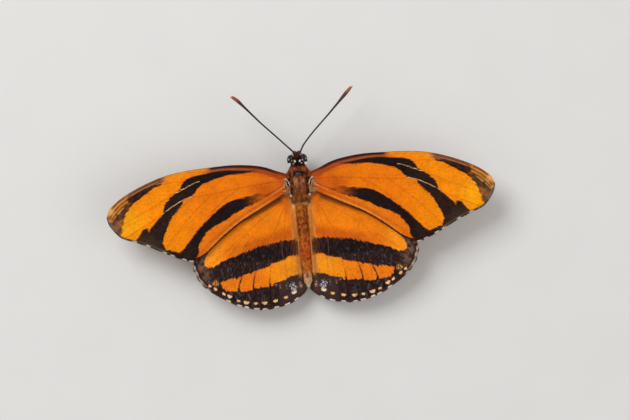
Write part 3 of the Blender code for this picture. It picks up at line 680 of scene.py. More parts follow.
def wing_material():
    """Overlapping scales in rows across the veins; the markings' edges break into streaks of scales."""
    made = Nodes("wing_scales", 0.62, 0.05)
    place = made.place()
    rows = made.node("ShaderNodeUVMap", uv_map="Rows").outputs["UV"]
    scales = made.scaled(rows, 5.5, 11, 1)
    tint = made.node("ShaderNodeSeparateColor", {0: made.cells(scales, 1, "Color")}).outputs
    streak = made.noise(made.scaled(rows, 0.7, 4.5, 1), 1, 3)
    fine = made.noise(made.scaled(rows, 4, 7, 1), 1)
    jagged = made.times(made.plus(streak, -0.5), made.number("feather"))
    broken = made.plus(jagged, made.times(made.plus(fine, -0.5), 0.5))
    dark = made.plus(made.number("dark"), broken)
    inked = made.times(made.step(dark, -0.14, 0.14), made.number("ink_share"))
    veined = made.mix(made.times(made.step(streak, 0.52, 0.7), 0.4), made.colour("ink"), srgb(60, 44, 54))
    flecked = made.mix(made.times(made.step(fine, 0.62, 0.74), 0.3), veined, srgb(92, 62, 62))
    dusted = made.step(made.plus(tint[1], made.number("dust")), 0.98, 1.3)
    ink = made.mix(dusted, flecked, made.colour("dust_tone"))
    warm = made.mix(made.times(made.step(streak, 0.5, 0.72), 0.4), made.colour("ground"), (0.84, 0.5, 1),
                    "MULTIPLY")
    blotch = made.times(made.step(made.noise(place, 1300, 4), 0.52, 0.66), 0.35)
    ground = made.mix(inked, made.mix(blotch, warm, (0.76, 0.48, 1), "MULTIPLY"), ink)
    pale = made.step(made.plus(made.number("pale"), made.times(broken, 0.5)), -0.1, 0.1)
    marked = made.mix(pale, ground, made.colour("pale_tone"))
    grain = made.plus(made.times(tint[0], 0.34), 0.83)
    broad = made.plus(made.times(made.noise(place, 350, 5), 0.5), 0.75)
    shaded = made.mix(1, marked, made.times(grain, broad), "MULTIPLY")
    return made.dress(shaded, made.cells(scales, 1), 0.3, SCALE_BUMP)


def painted_material(name, roughness, specular, grain_scale, bump_reach):
    """A surface coloured point by point, with fine grain."""
    made = Nodes(name, roughness, specular)
    grain = made.noise(made.place(), grain_scale, 4)
    shaded = made.mix(1, made.colour("tone"), made.plus(made.times(grain, 0.6), 0.7), "MULTIPLY")
    return made.dress(shaded, grain, 0.6, bump_reach)


def eye_material():
    """Dark, glossy, with fine facets over colours that hold painted glints."""
    made = Nodes("eye_facets", 0.3, 0.14)
    made.shader.inputs["Coat Weight"].default_value = 0.05
    made.shader.inputs["Coat Roughness"].default_value = 0.1
    place = made.place()
    facet = made.cells(place, 11000)
    soft = made.plus(made.times(facet, 1.1), made.times(made.noise(place, 2200, 3), 0.7))
    return made.dress(made.mix(1, made.colour("tone"), soft, "MULTIPLY"), facet, 0.7, SCALE_BUMP)


def line_share(points, path, half_width, softness=0.1):
    """1 on a line, 0 past its half width."""
    return fade(half_width - softness, half_width + softness, off_curve(points, path))


def costa_streaks(ground, x, y, edge):
    """The costa: dark edge, pinkish stripe near the root, orange middle, brown streaks to the tip."""
    near_root = fade(19, 21.5, x)
    ground.lay(172, 72, 18, near_root * fade(1.4, 2.1, edge))
    ground.lay(84, 34, 16, near_root * fade(0.62, 0.82, edge) * (0.5 + 0.5 * smooth(3.5, 6.5, x)))
    narrowing = 0.2 * smooth(13, 17, x)
    stripe = near_root * smooth(3, 6, x) * fade(0.14, 0.32, np.abs(edge - 1 + narrowing))
    ground.lay(158, 70, 24, 0.9 * stripe * fade(7, 10, x))
    ground.lay(144, 80, 46, 0.9 * stripe * smooth(7, 10, x))
    ground.lay(38, 15, 10, near_root * smooth(10, 13, x) * fade(0.1, 0.26, np.abs(edge - 1.45 + narrowing)))
    ground.lay(50, 20, 12, near_root * fade(0.3, 0.52, edge) * (0.4 + 0.6 * smooth(4, 8, x)))
    middle = smooth(19.5, 22.5, x) * fade(29.5, 31.5, x)
    ground.lay(246, 150, 26, middle * fade(0.5, 1, edge))
    ground.lay(112, 54, 16, 0.8 * middle * fade(0.1, 0.24, edge))
    ground.lay(150, 68, 16, 0.55 * middle * fade(0.04, 0.16, np.abs(edge - 0.5)))
    far = smooth(29.6, 31.8, x) * (y > -3)
    ground.lay(182, 118, 72, far * fade(1.1, 1.7, edge))
    for depth, shade in ((0.08, (48, 26, 18)), (0.5, (54, 28, 18)), (0.95, (84, 42, 22))):
        ground.lay(*shade, 0.95 * far * fade(0.08, 0.2, np.abs(edge - depth)))
    ground.lay(212, 142, 58, smooth(38.6, 40.6, x) * (y > -6) * fade(2.9, 3.6, edge))


def forewing_ground(p, costa_edge, hind_edge, outer_edge):
    """Orange, yellower outwards, duller at the root and along the hind edge."""
    x, y = p.T
    ground = Paint(len(p), 231, 119, 9)
    ground.lay(196, 84, 18, fade(3, 9, x))
    ground.lay(192, 84, 14, 0.9 * ball(p, (8.5, -1.2), 5))
    ground.lay(244, 142, 5, 0.75 * smooth(20, 32, x))
    ground.lay(244, 163, 14, 0.95 * ball(p, (39.5, -6.3), 6))
    fading = 1 - 0.5 * smooth(16, 23, x)
    ground.lay(212, 104, 17, 0.7 * fading * smooth(0, 4, -y - 0.3 * x - 0.5) * (x < 26))
    ground.lay(204, 100, 18, 0.8 * fading * fade(0.3, 2.2, hind_edge) * smooth(5, 9, x))
    rear_line = fade(0.12, 0.3, np.abs(hind_edge - 0.55))
    ground.lay(240, 156, 62, 0.55 * rear_line * smooth(5, 9, x) * fade(18, 24, x))
    ground.lay(188, 76, 12, 0.3 * fade(0.05, 0.24, off_veins(p, FOREWING_VEINS)))
    ground.lay(250, 176, 84, 0.4 * line_share(p, [(2.6, 1.2), (4, 1.45), (6.4, 1.65)], 0.13))
    ground.lay(248, 146, 70, 0.6 * line_share(p, [(3, -0.4), (4.4, -1), (6.4, -2)], 0.2))
    ground.lay(26, 16, 14, 0.9 * ball(p, (2.85, 0.1), 0.95))
    ground.lay(120, 44, 10, 0.7 * line_share(p, [(3.2, 0.2), (4.6, -0.9), (6.4, -1.8), (8.2, -2.4)], 0.16))
    costa_streaks(ground, x, y, costa_edge)
    for streak in APEX_STREAKS:
        ground.lay(88, 38, 16, 0.9 * line_share(p, streak, 0.2, 0.14))
    ground.lay(238, 178, 104, 0.7 * ball(p, (43.3, -2.9), 1.2))
    ground.lay(84, 42, 26, 0.8 * smooth(41, 42.5, x) * fade(0.08, 0.2, outer_edge))
    return ground.rgb


def forewing_ink(p, hind_edge, outer_edge):
    """Near black, with browner and paler scales towards the tip, and a painted shadow in dark brown along the
    hind edge.
    """
    x, y = p.T
    ink = Paint(len(p), 25, 15, 12)
    ink.lay(80, 50, 32, 0.3 * smooth(24, 27, x) * soft_noise(p, 0.35, 27))
    # Painted shadow: dark brown along the hind edge, for the shade in the gap over the hindwing
    ink.lay(46, 20, 10, fade(0.2, 0.7, hind_edge))
    ink.lay(70, 36, 18, 0.7 * smooth(31, 32, x) * (y > -2.2) * blots(p, 0.8, 25, 0.6))
    ink.lay(84, 62, 58, 0.7 * (smooth(38.4, 39.6, x) * (y < -0.9)) * blots(p, 0.6, 21, 0.45))
    ink.lay(176, 108, 44, 0.95 * ball(p, (41.35, -5.7), 1.5) * (0.4 + 0.6 * blots(p, 0.7, 23, 0.6)))
    ink.lay(142, 96, 58, 0.8 * ball(p, (42.5, -6.6), 1.3))
    ink.lay(128, 108, 92, 0.6 * smooth(30, 32.5, x) * fade(0.1, 0.8, outer_edge))
    ink.lay(66, 46, 34, 0.55 * smooth(31, 34.5, x) * fade(-9.5, -6, y) * fade(1, 3.5, outer_edge))
    return ink.lay(112, 50, 14, 0.6 * fade(9, 13, x) * (y < -0.5))


def forewing_markings(p, ring):
    """Colours and measures that the wing's material reads, at each plan point of a forewing."""
    x, y = p.T
    costa_edge, outer_edge, hind_edge = (
        distance(p, ring[first * RING_RUN:last * RING_RUN:4])
        for first, last in ((1, 13), (13, 22), (21, 30)))
    # Painted shadow: a dark line along the hind edge, where the gap over the hindwing lies in shade
    dark = np.maximum(depth_in_any(p, FOREWING_DARK), 0.33 - hind_edge)
    dark = np.where(x > 24, np.maximum(dark, 0.3 - outer_edge), dark)
    at_tip = (x > 38.3) & (y > -8.5)
    strands = soft_noise(columns(0.25 * x, y + 0.35 * x), 0.24, 87)
    share = np.where((y > -0.5) & (x < 16), smooth(6.5, 13, x), 1)
    share = np.where((y < -0.5) & (y > -4.9) & (x < 16) & (hind_edge > 0.6),
                     (1 - fade(5.5, 15, x) ** 2.2) ** (0.3 + 2 * strands), share)
    share = np.where(at_tip & (y < -0.9), 0.94, share)
    feather = np.where(x < 14, 1.6, 0.9)
    feather = np.where((y > 2.5) & (x < 30), 0.5, feather)
    feather = np.where(at_tip, 1.6, feather)
    feather = np.where(hind_edge < 0.55, 0.3, feather)
    lines = [np.minimum(0.12 - 1.5 * off_curve(p, line), dark + 0.02) for line in FOREWING_PALE_LINES]
    fringe = [np.minimum(0.12 - outer_edge, 0.5 - off_point(p, centre)) for centre in FOREWING_WHITES]
    pale_tone = Paint(len(p), 232, 176, 126).lay(226, 212, 190, fade(0.25, 0.5, outer_edge))
    return {
        "ground": forewing_ground(p, costa_edge, hind_edge, outer_edge),
        "ink": forewing_ink(p, hind_edge, outer_edge), "pale_tone": pale_tone, "dust_tone": pale_tone,
        "dust": np.zeros(len(p)), "dark": dark, "feather": feather, "ink_share": share,
        "pale": np.max([*lines, *fringe], axis=0, initial=-FAR_OFF),
    }


def hindwing_ground(p, slit):
    """Orange, browner across the middle, with the pale strip of hair beside the body and a painted shadow
    under the forewing's rear edge.
    """
    x, y = p.T
    lower = fade(-17.4, -16.4, y)
    ground = Paint(len(p), 236, 127, 13)
    ground.lay(206, 100, 20, 0.7 * fade(1.5, 5, np.hypot(x - 2.4, y + 3.4)))
    belt = fade(0.2, 2.6, np.abs(y + 12.2 + 0.25 * (x - 6)))
    ground.lay(196, 86, 16, (0.85 - 0.55 * smooth(11, 18, x)) * belt * (1 - lower))
    ground.lay(252, 156, 30, 0.8 * smooth(17, 21.5, x) * (y > -17.8))
    ground.lay(242, 148, 22, 0.85 * lower * fade(6, 11, x))
    ground.lay(232, 120, 26, 0.6 * lower * smooth(9, 14, x) * fade(-22.9, -21, y))
    ground.lay(206, 150, 74, 0.3 * fade(0.05, 0.3, np.abs(x - 5.35)) * lower)
    ground.lay(192, 82, 14, 0.2 * fade(0.05, 0.24, off_veins(p, HINDWING_VEINS)))
    ground.lay(255, 196, 100, 0.95 * fade(1.4, 3.2, x) * (y > -22))
    streak = fade(0.05, 0.18, np.abs(x - 1.45)) * (y < -5) * (y > -21.5)
    ground.lay(255, 190, 104, 0.8 * streak * (0.4 + 0.6 * soft_noise(p * (0.2, 1), 1.4, 39)))
    # Painted shadow that the forewing's rear edge casts on the hindwing
    forewing_shadow = off_curve(p, [(5, -3.6), (8, -4.9), (12, -6.6), (15, -8.6)])
    ground.lay(84, 42, 18, 0.75 * fade(0.2, 1.3, forewing_shadow) * fade(11, 15, x))
    ground.lay(132, 52, 20, 0.55 * ((y < -17.5) & (y > -21.2)) * fade(0.05, 0.22, slit))
    return ground.lay(220, 98, 26, 0.4 * lower * blots(p * (1, 0.3), 0.5, 31, 0.4) * smooth(5, 9, x))


def hindwing_ink(p, outer_edge):
    """Near black, mottled with paler scales, brown outwards and beside the body."""
    x, y = p.T
    ink = Paint(len(p), 25, 15, 13)
    ink.lay(78, 50, 42, 0.32 * (y < -17) * soft_noise(p * (1, 0.5), 0.3, 29))
    mottling = smooth(0.6, 0.9, soft_noise(p * (1, 0.45), 0.24, 85))
    ink.lay(96, 88, 90, 0.45 * mottling * smooth(6, 10, x))
    fan = columns(np.hypot(x - 16, y + 12) * 0.5, np.arctan2(y + 12, x - 16) * 9)
    outer_zone = smooth(20.8, 23.6, x) * (y > -22)
    ink.lay(104, 76, 66, 0.85 * outer_zone * (0.2 + 0.7 * blots(fan, 0.5, 33, 0.5)))
    ink.lay(140, 100, 74, 0.45 * outer_zone * blots(fan, 0.35, 35, 0.22))
    ink.lay(30, 20, 20, 0.85 * outer_zone * fade(0.1, 0.4, np.abs(outer_edge - 0.75)))
    rim_line = fade(0.06, 0.24, np.abs(outer_edge - 0.3)) * (0.3 + 0.7 * blots(p, 0.6, 49, 0.6))
    ink.lay(206, 180, 152, 0.9 * outer_zone * rim_line)
    ink.lay(96, 62, 42, 0.7 * fade(1.4, 3.2, x))
    ink.lay(70, 52, 52, 0.6 * fade(5.5, 8, x) * (y < -21))
    upper = y > -18.5
    for place, strength in ((3.3, 0.08), (4.4, 0.08), (5.25, 0.3)):
        strand = fade(0.03, 0.12, np.abs(x - place - 0.1 * np.sin(0.7 * y + place)))
        ink.lay(170, 112, 84, strength * strand * upper)
    ink.lay(70, 42, 42, 0.6 * blots(p * (1, 0.3), 0.22, 37, 0.4) * fade(5, 9, x) * upper)
    ink.lay(120, 62, 40, 0.5 * fade(2.2, 3.6, x) * upper)
    return ink.lay(66, 34, 22, 0.7 * (fade(0.3, 0.6, outer_edge) * (y < -21)))


def hindwing_dust(p):
    """How thick pale scales lie on the ink, and their colour."""
    x, y = p.T
    dust = np.zeros(len(p))
    tone = Paint(len(p), 200, 190, 196)
    ragged = 0.3 + 0.7 * smooth(0.25, 0.7, soft_noise(p * (1, 0.6), 0.24, 43))
    for centre, reach, shade, strength in HIND_SMUDGES:
        far = np.hypot((x - centre[0]) / reach[0], (y - centre[1]) / reach[1])
        powder = strength * ragged * fade(0.3, 1.1, far)
        tone.lay(*shade, 1 * (powder > dust))
        dust = np.maximum(dust, powder)
    return dust, tone.rgb


def spot_depth(p, ring, centre, half_length):
    """Depth inside a pale spot that bends along the margin."""
    near = ring[np.argmin(off_point(ring, centre))]
    outward = unit(near - centre)
    offset = p - centre
    along = offset @ np.array([-outward[1], outward[0]])
    bent = offset @ outward + 0.18 * along ** 2 / half_length
    return (1 - np.hypot(along / half_length, bent / (0.6 * half_length))) * 0.6 * half_length


def hindwing_markings(p, ring):
    """The same for a hindwing."""
    x, y = p.T
    outer_edge = distance(p, ring[9 * RING_RUN:20 * RING_RUN:2])
    slit = np.min([aside + off_curve(p, HINDWING_VEINS[name]) for name, aside in HINDWING_SLITS], axis=0,
                  initial=FAR_OFF)
    in_slit = (y < -20.1) & (y > -24)
    dark = depth_in_any(p, HINDWING_DARK)
    dark = np.where(in_slit, np.maximum(dark, 0.14 - 0.08 * smooth(-21.4, -20.2, y) - slit), dark)
    feather = np.where((y > -17.2) & (x < 21), 1.9 - smooth(8, 18, x), 1.1)
    spots = [spot_depth(p, ring, *spot) for spot in PALE_SPOTS]
    fringe = [np.minimum(0.1 - outer_edge, 0.6 - off_point(p, centre)) for centre in HINDWING_WHITES]
    in_spot = outer_edge > 0.5
    in_fringe = fade(0.25, 0.5, outer_edge)
    tone = Paint(len(p), 238, 192, 142)
    tone.lay(236, 186, 96, 0.6 * ((x > 4.6) & (x < 8.6) & in_spot))
    tone.lay(255, 226, 172, 0.7 * blots(p, 0.4, 45, 0.35))
    tone.lay(234, 140, 70, 0.45 * blots(p, 0.4, 47, 0.3))
    tone.lay(230, 213, 174, 0.9 * ((x < 4.6) & in_spot))
    tone.lay(255, 250, 238, in_fringe)
    tone.lay(170, 146, 122, in_fringe * smooth(19, 22, x))
    dust, dust_tone = hindwing_dust(p)
    return {
        "ground": hindwing_ground(p, slit), "ink": hindwing_ink(p, outer_edge), "pale_tone": tone.rgb,
        "dust_tone": dust_tone, "dust": dust, "dark": dark,
        "feather": np.where(in_slit & (slit < 0.5), 0.35, feather),
        "ink_share": np.where(y > -19.5, 0.1 + 0.9 * smooth(1.3, 2.3, x), 1),
        "pale": np.max([*spots, *fringe], axis=0, initial=-FAR_OFF),
    }


def forewing_height(x, y):
    """Middle surface of a forewing."""
    span = x - WING_ROOT_X
    roll = COSTA_ROLL * np.maximum(0, y - 1) ** 2
    droop = REAR_DROOP * np.maximum(0, -y - REAR_DROOP_START) ** 2
    return WING_ROOT_Z + WING_RISE * span - WING_ARCH * span * span - roll - droop


def hindwing_height(x, y):
    """Middle surface of a hindwing, a step below the forewing's."""
    trough = TROUGH_DEPTH * np.maximum(0, TROUGH_EDGE_X - x) ** 2
    droop = HINDWING_DROOP * np.maximum(0, -y - HINDWING_DROOP_START) ** 2
    beside = smooth(FOLD_START_Y, FOLD_START_Y + 2, y) * fade(FOLD_END_Y - 1.5, FOLD_END_Y, y)
    fold = FOLD_RISE * beside * bell(x, FOLD_X, FOLD_WIDTH)
    return forewing_height(x, y) - HINDWING_STEP - trough - droop + fold


# Each kind's rim, corners, veins, white places and notch depth there, points across and along, fringe's ends
WINGS = {
    "hindwing": {
        "outline": HINDWING_OUTLINE, "corners": (1, 9, 21, 27), "veins": HINDWING_VEINS,
        "whites": HINDWING_WHITES, "notch": 0.17, "grid": (190, 130), "fringe": (8.5, 21),
        "height": hindwing_height, "markings": hindwing_markings,
    },
    "forewing": {
        "outline": FOREWING_OUTLINE, "corners": (0, 13, 21, 30), "veins": FOREWING_VEINS,
        "whites": FOREWING_WHITES, "notch": 0.09, "grid": (100, 240), "fringe": (13, 21.6),
        "height": forewing_height, "markings": forewing_markings,
    },
}


def wing_ring(wing):
    """The rim as a closed run of points, drawn in a little at each notch."""
    ring = spline(wing["outline"], RING_RUN, closed=True)
    ahead = unit(np.roll(ring, -1, axis=0) - np.roll(ring, 1, axis=0))
    depth = np.max([bell(off_point(ring, notch), 0, NOTCH_REACH) for notch in wing["whites"]], axis=0)
    return ring + columns(ahead[:, 1], -ahead[:, 0]) * (wing["notch"] * depth)[:, None]


def wing_grid(ring, corners, across, along):
    """A grid of plan points that fits the rim: rows run from the root to the outer margin."""
    a, b, c, d = (k * RING_RUN for k in corners)
    around = a + len(ring)
    ring = np.concatenate([ring, ring])
    front = even(ring[a:b + 1], along)
    outer = even(ring[b:c + 1], across)
    rear = even(ring[c:d + 1][::-1], along)
    root = even(ring[d:around + 1][::-1], across)
    u = np.linspace(0, 1, along)[None, :, None]
    v = np.linspace(0, 1, across)[:, None, None]
    grid = (1 - v) * front[None] + v * rear[None] + (1 - u) * root[:, None] + u * outer[:, None]
    grid -= (1 - u) * (1 - v) * front[0] + u * (1 - v) * front[-1] + (1 - u) * v * rear[0] + u * v * rear[-1]
    return grid


def underside(colours):
    """The underside's duller, browner form of a colour."""
    grey = colours.mean(axis=1, keepdims=True)
    return 0.55 * colours + 0.25 * grey + 0.2 * srgb(176, 112, 70)


def make_wing(kind, side_name, side, material):
    """One wing, upper and lower face in one closed skin, with its markings on both."""
    wing = WINGS[kind]
    across, along = wing["grid"]
    ring = wing_ring(wing)
    grid = wing_grid(ring, wing["corners"], across, along)
    p = grid.reshape(-1, 2)
    x, y = p.T
    vein = off_veins(p, wing["veins"])
    rim = distance(p, ring[::4])
    middle = wing["height"](x, y) - PLEAT_DEPTH * (smooth(0, 1.6, vein) - 0.5)
    inner = smooth(0, EDGE_TAPER, rim)
    thickness = WING_EDGE_HALF_THICKNESS + (WING_HALF_THICKNESS - WING_EDGE_HALF_THICKNESS) * inner
    ridge = VEIN_RISE * fade(0, VEIN_HALF_WIDTH, vein) * smooth(0.1, 1, rim)
    faces_up = columns(side * x, y, middle + thickness + ridge)
    faces_down = columns(side * x, y, middle - thickness - ridge)
    count = len(p)
    corner = (across - 1) * along
    border = np.concatenate([np.arange(along - 1), np.arange(along - 1, count - 1, along),
                             np.arange(count - 1, corner, -1), np.arange(corner, 0, -along)])
    following = np.roll(border, -1)
    wall = columns(border, following, following + count, border + count)[:, ::-side]
    faces = [grid_faces(across, along, 0, side > 0), grid_faces(across, along, count, side < 0), wall]
    piece = make_object(f"{kind}_scales_{side_name}", np.concatenate([faces_up, faces_down]),
                        np.concatenate(faces), material)
    marks = wing["markings"](p, ring)
    for name in ("ground", "ink", "pale_tone", "dust_tone"):
        lower = marks[name] if name == "pale_tone" else underside(marks[name])
        add_colours(piece, name, np.concatenate([marks[name], lower]))
    for name in ("dust", "dark", "feather", "ink_share", "pale"):
        lower = (LOWER_INK_SHARE if name == "ink_share" else 1) * marks[name]
        add_values(piece, name, np.concatenate([marks[name], lower]))
    steps = (np.linalg.norm(np.diff(grid, axis=1), axis=2).mean(axis=0),
             np.linalg.norm(np.diff(grid, axis=0), axis=2).mean(axis=1))
    places = [np.concatenate([[0], np.cumsum(run)]) for run in steps]
    flat = np.stack(np.meshgrid(*places), axis=2).reshape(-1, 2)
    add_unwrap(piece, "Rows", np.concatenate([flat, flat + (0, LOWER_ROWS_SHIFT)]))
    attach(piece, "root")
    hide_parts(f"{kind}_{side_name}")


def make_fringe(kind, side_name, side, material):
    """Short scales standing out along the outer margin, white in the notches between the veins."""
    wing = WINGS[kind]
    first, last = wing["fringe"]
    draw = np.random.default_rng(SEED + len(kind))
    count = FRINGE_COUNT
    line = even(wing_ring(wing)[int(first * RING_RUN):int(last * RING_RUN)], count)
    places = line + draw.normal(0, 0.02, (count, 2))
    ahead = unit(np.gradient(line, axis=0))
    outward = columns(-side * ahead[:, 1], ahead[:, 0])
    lift = draw.choice([-0.07, 0.07], count)
    roots = columns(side * places[:, 0], places[:, 1], wing["height"](*places.T) + lift)
    roots[:, :2] -= outward * 0.22
    lie = columns(*outward.T, draw.normal(0, 0.1, count))
    lie[:, :2] += draw.normal(0, 0.18, (count, 2))
    white = np.max([fade(0.4, 0.7, off_point(places, centre)) for centre in wing["whites"]], axis=0)
    dull = 0.35 if kind == "forewing" else 0.55 * smooth(19, 23, places[:, 0])
    colours = Paint(count, 46, 30, 22).lay(246, 238, 224, white * (1 - dull))
    colours = colours * draw.uniform(0.75, 1.15, count)[:, None]
    patch = columns(0.02 + 0.96 * (np.arange(count) / count), 0.3 + 0.2 * draw.random(count))
    spikes(f"{kind}_fringe_{side_name}", roots, columns(0, 0, np.sign(lift)), lie,
           draw.uniform(0.32, 0.46, count), 0.05, -0.1, colours, patch, material, "wing_scales")


def make_wing_hair(side_name, side, material):
    """Long fine hairs beside the abdomen on the hindwing, and over the roots of both wings."""
    draw = np.random.default_rng(SEED + 5)
    rear, front = WING_HAIR_COUNTS
    count = rear + front
    y = np.concatenate([draw.uniform(-20.3, -3.4, rear), draw.uniform(-2.9, 1.4, front)])
    x = np.concatenate([1.32 + np.abs(draw.normal(0, 0.6, rear)), 1.9 + np.abs(draw.normal(0, 0.8, front))])
    height = np.where(y < -1.9, hindwing_height(x, y), forewing_height(x, y)) + WING_HALF_THICKNESS
    lie = columns(side * draw.normal(0.05, 0.05, count), -1, 0)
    at_root = y > -3
    lie[at_root, 0] += side * draw.uniform(0.6, 3.2, at_root.sum())
    length = np.where(at_root, draw.uniform(0.5, 1.3, count), draw.uniform(1, 2.4, count))
    kinds = draw.random(count)
    colours = Paint(count, 255, 174, 88)
    colours.lay(255, 152, 50, smooth(1.45, 1.8, x))
    broken = soft_noise(columns(0.2 * x, y), 1.4, 39) > 0.35
    colours.lay(255, 208, 146, (kinds < 0.75) * broken * (x < 1.41))
    colours.lay(206, 116, 46, (kinds > 0.92) * 1)
    halfway = y - 0.5 * length
    band = (halfway < -13.1) & (halfway > -16.4) & (x > 1.5)
    colours.lay(84, 38, 28, band * (kinds > 0.1) * 0.92)
    rear_root = at_root * (y < -0.6)
    colours.lay(250, 188, 122, rear_root * (kinds < 0.4))
    colours.lay(232, 122, 58, rear_root * (kinds > 0.4) * (kinds < 0.7))
    colours.lay(90, 40, 24, rear_root * (kinds > 0.7))
    colours.lay(214, 108, 44, at_root * (y > -0.6) * (kinds < 0.6))
    patch = columns(0.02 + 0.9 * np.clip(x / 6, 0, 1), 0.02 + 0.96 * (y + 24) / 28)
    spikes(f"wing_hair_{side_name}", columns(side * x, y, height), UP, lie, length, 0.02, -0.13,
           colours.rgb * draw.uniform(0.9, 1.35, count)[:, None], patch, material, "body_scales",
           keep=(x < 4) & ~((y < -20.5) & (x < 1)))


def body_points(y, angle):
    """Points on the skin, at a place along the body and an angle round it, with their normals."""
    table = spline(BODY_RINGS, 8)
    table = table[np.argsort(table[:, 0])].T
    centre, half_width, above, below = (np.interp(y, table[0], row) for row in table[1:])
    waist = 1 - sum(0.07 * bell(y, place, 0.16) for place in ABDOMEN_GROOVES_Y)
    tall = np.where(np.sin(angle) > 0, above, below)
    x = half_width * waist * np.cos(angle)
    z = centre + tall * waist * np.sin(angle)
    # Scutellum, shoulder plates and a midline furrow on the thorax
    top = np.maximum(0, np.sin(angle))
    furrow = 0.1 * bell(x, 0, 0.16) * top * smooth(-2.4, -1.8, y) * fade(0.9, 1.5, y)
    step = 0.16 * np.exp(-((y + 2.5 - 0.25 * np.abs(x)) / 0.16) ** 2) * top
    plates = 0.16 * np.exp(-(((np.abs(x) - 1.45) / 0.45) ** 2 + ((y - 0.9) / 0.75) ** 2)) * top
    z = z - furrow - step + plates
    ends = 3 * smooth(5.9, 6.5, y) - 2 * fade(-23.7, -22.6, y)
    normal = columns(np.cos(angle) / np.maximum(half_width, 0.05), ends / np.maximum(half_width, 0.5),
                     np.sin(angle) / np.maximum(tall, 0.05))
    return columns(x, y, z), unit(normal)


def thorax_colour(p, y, wide, flat):
    """Collar and thorax: pinkish brown middle, dark sides, olive rear shield, shining black front spot with
    painted glint.
    """
    tone = Paint(len(p), 136, 62, 22)
    tone.lay(44, 18, 10, 0.92 * smooth(1.05, 1.35, wide) * fade(1.75, 2, wide) * smooth(-2.4, -1.4, y))
    middle = fade(0.75, 1.2, wide) * smooth(-2.3, -1.5, y) * fade(1.2, 1.8, y)
    tone.lay(172, 96, 74, 0.9 * middle)
    tone.lay(244, 156, 112, 0.8 * middle * blots(p, 0.5, 51, 0.3))
    tone.lay(120, 44, 24, 0.8 * fade(0.1, 0.34, wide) * smooth(-1.8, -1.2, y))
    tone.lay(172, 88, 2, 0.95 * (fade(0.8, 1.3, wide) * fade(-2.6, -2.1, y)))
    tone.lay(30, 10, 4, 0.95 * bell(y, -2.15, 0.3) * fade(0.4, 1, wide))
    tone.lay(216, 144, 104, 0.85 * ball(flat, (1.35, -2.9), 0.85))
    tone.lay(66, 24, 8, 0.75 * blots(p, 0.6, 53, 0.32) * (1 - 0.5 * middle))
    tone.lay(230, 142, 76, 0.5 * blots(p, 0.4, 55, 0.2))
    tone.lay(44, 16, 8, 0.85 * bell(y, -3.9, 0.14))
    rear_edge = fade(-4.4, -4.15, y - 0.12 * wide) * (0.35 + 0.65 * blots(p, 0.3, 65, 0.6))
    tone.lay(255, 206, 132, rear_edge * (0.5 + 0.45 * smooth(0.4, 0.9, wide)))
    collar = smooth(2.5, 2.9, y)
    tone.lay(160, 70, 44, collar)
    tone.lay(212, 122, 62, 0.8 * collar * blots(p, 0.6, 57, 0.5))
    tone.lay(50, 20, 12, 0.8 * collar * blots(p, 0.4, 59, 0.28))
    tone.lay(36, 14, 10, 0.8 * bell(y, 4.15, 0.16))
    tone.lay(196, 102, 36, 0.85 * smooth(1.2, 1.55, wide) * smooth(1.3, 2.1, y))
    spot = np.hypot(wide / 0.95, (y - 2.24) / 0.52)
    tone.lay(52, 22, 14, 0.9 * fade(1.15, 1.5, spot))
    tone.lay(10, 9, 11, fade(0.85, 1.1, spot))
    # Painted bluish glint on the black shining spot
    return tone.lay(84, 104, 110, 0.9 * ball(flat, (0.25, 2), 0.5) * soft_noise(p, 0.4, 63))


def head_colour(p, y, wide, flat):
    """Dark, with white dots between the eyes and pinkish tufts."""
    tone = Paint(len(p), 30, 14, 7)
    tone.lay(104, 44, 22, 0.6 * blots(p, 0.3, 61, 0.42))
    tone.lay(168, 96, 70, 0.6 * ball(flat, (0.95, 4.35), 0.5) * blots(p, 0.25, 67, 0.6))
    tone.lay(96, 46, 38, 0.8 * fade(0.2, 0.5, wide) * smooth(5.3, 5.7, y))
    tone.lay(240, 184, 170, 0.95 * smooth(0, 0.5, ball(flat, (0.64, 6.1), 0.36)))
    return tone.lay(255, 254, 250, smooth(0, 0.25, ball(flat, (0.56, 4.95), 0.26)))


def abdomen_colour(p, y, wide):
    """Tan in front, mottled brown, red orange behind, pinkish tan tip."""
    tone = Paint(len(p), 196, 104, 20)
    tone.lay(226, 136, 48, 0.8 * smooth(-6, -5.3, y))
    tone.lay(120, 64, 18, 0.7 * bell(y, -6.4, 0.4) * fade(0.5, 1, wide))
    tone.lay(150, 58, 14, 0.9 * smooth(-12.8, -10.6, y) * fade(-8.6, -7.4, y))
    tone.lay(226, 94, 24, smooth(-18.8, -16.5, y) * fade(-14.6, -10.8, y))
    tone.lay(255, 138, 44, fade(-18.8, -16.8, y))
    tip = fade(-22, -21, y)
    tone.lay(255, 212, 166, 0.95 * tip)
    tone.lay(216, 128, 74, 0.3 * tip * blots(p, 0.34, 75, 0.25))
    tone.lay(255, 238, 212, 0.8 * fade(-23.3, -22.9, y))
    arc = np.hypot(p[:, 0] / 0.62, (y + 21.5) / 1.05)
    tone.lay(255, 214, 178, 0.9 * bell(arc, 1, 0.2) * smooth(-21.9, -21.4, y))
    midline = 0.5 * fade(0.1, 0.24, wide) * smooth(-21.9, -21.6, y)
    tone.lay(132, 44, 18, midline * fade(-20.9, -20.7, y))
    for groove in ABDOMEN_GROOVES_Y:
        tone.lay(110, 50, 22, 0.55 * bell(y, groove, 0.13))
    tone.lay(96, 36, 10, (0.55 - 0.5 * tip) * blots(p, 0.5, 71, 0.34))
    tone.lay(246, 160, 66, 0.5 * blots(p, 0.36, 73, 0.2))
    return tone.lay(240, 160, 84, 0.5 * smooth(1.15, 1.3, wide) * fade(-7.5, -6.5, y))


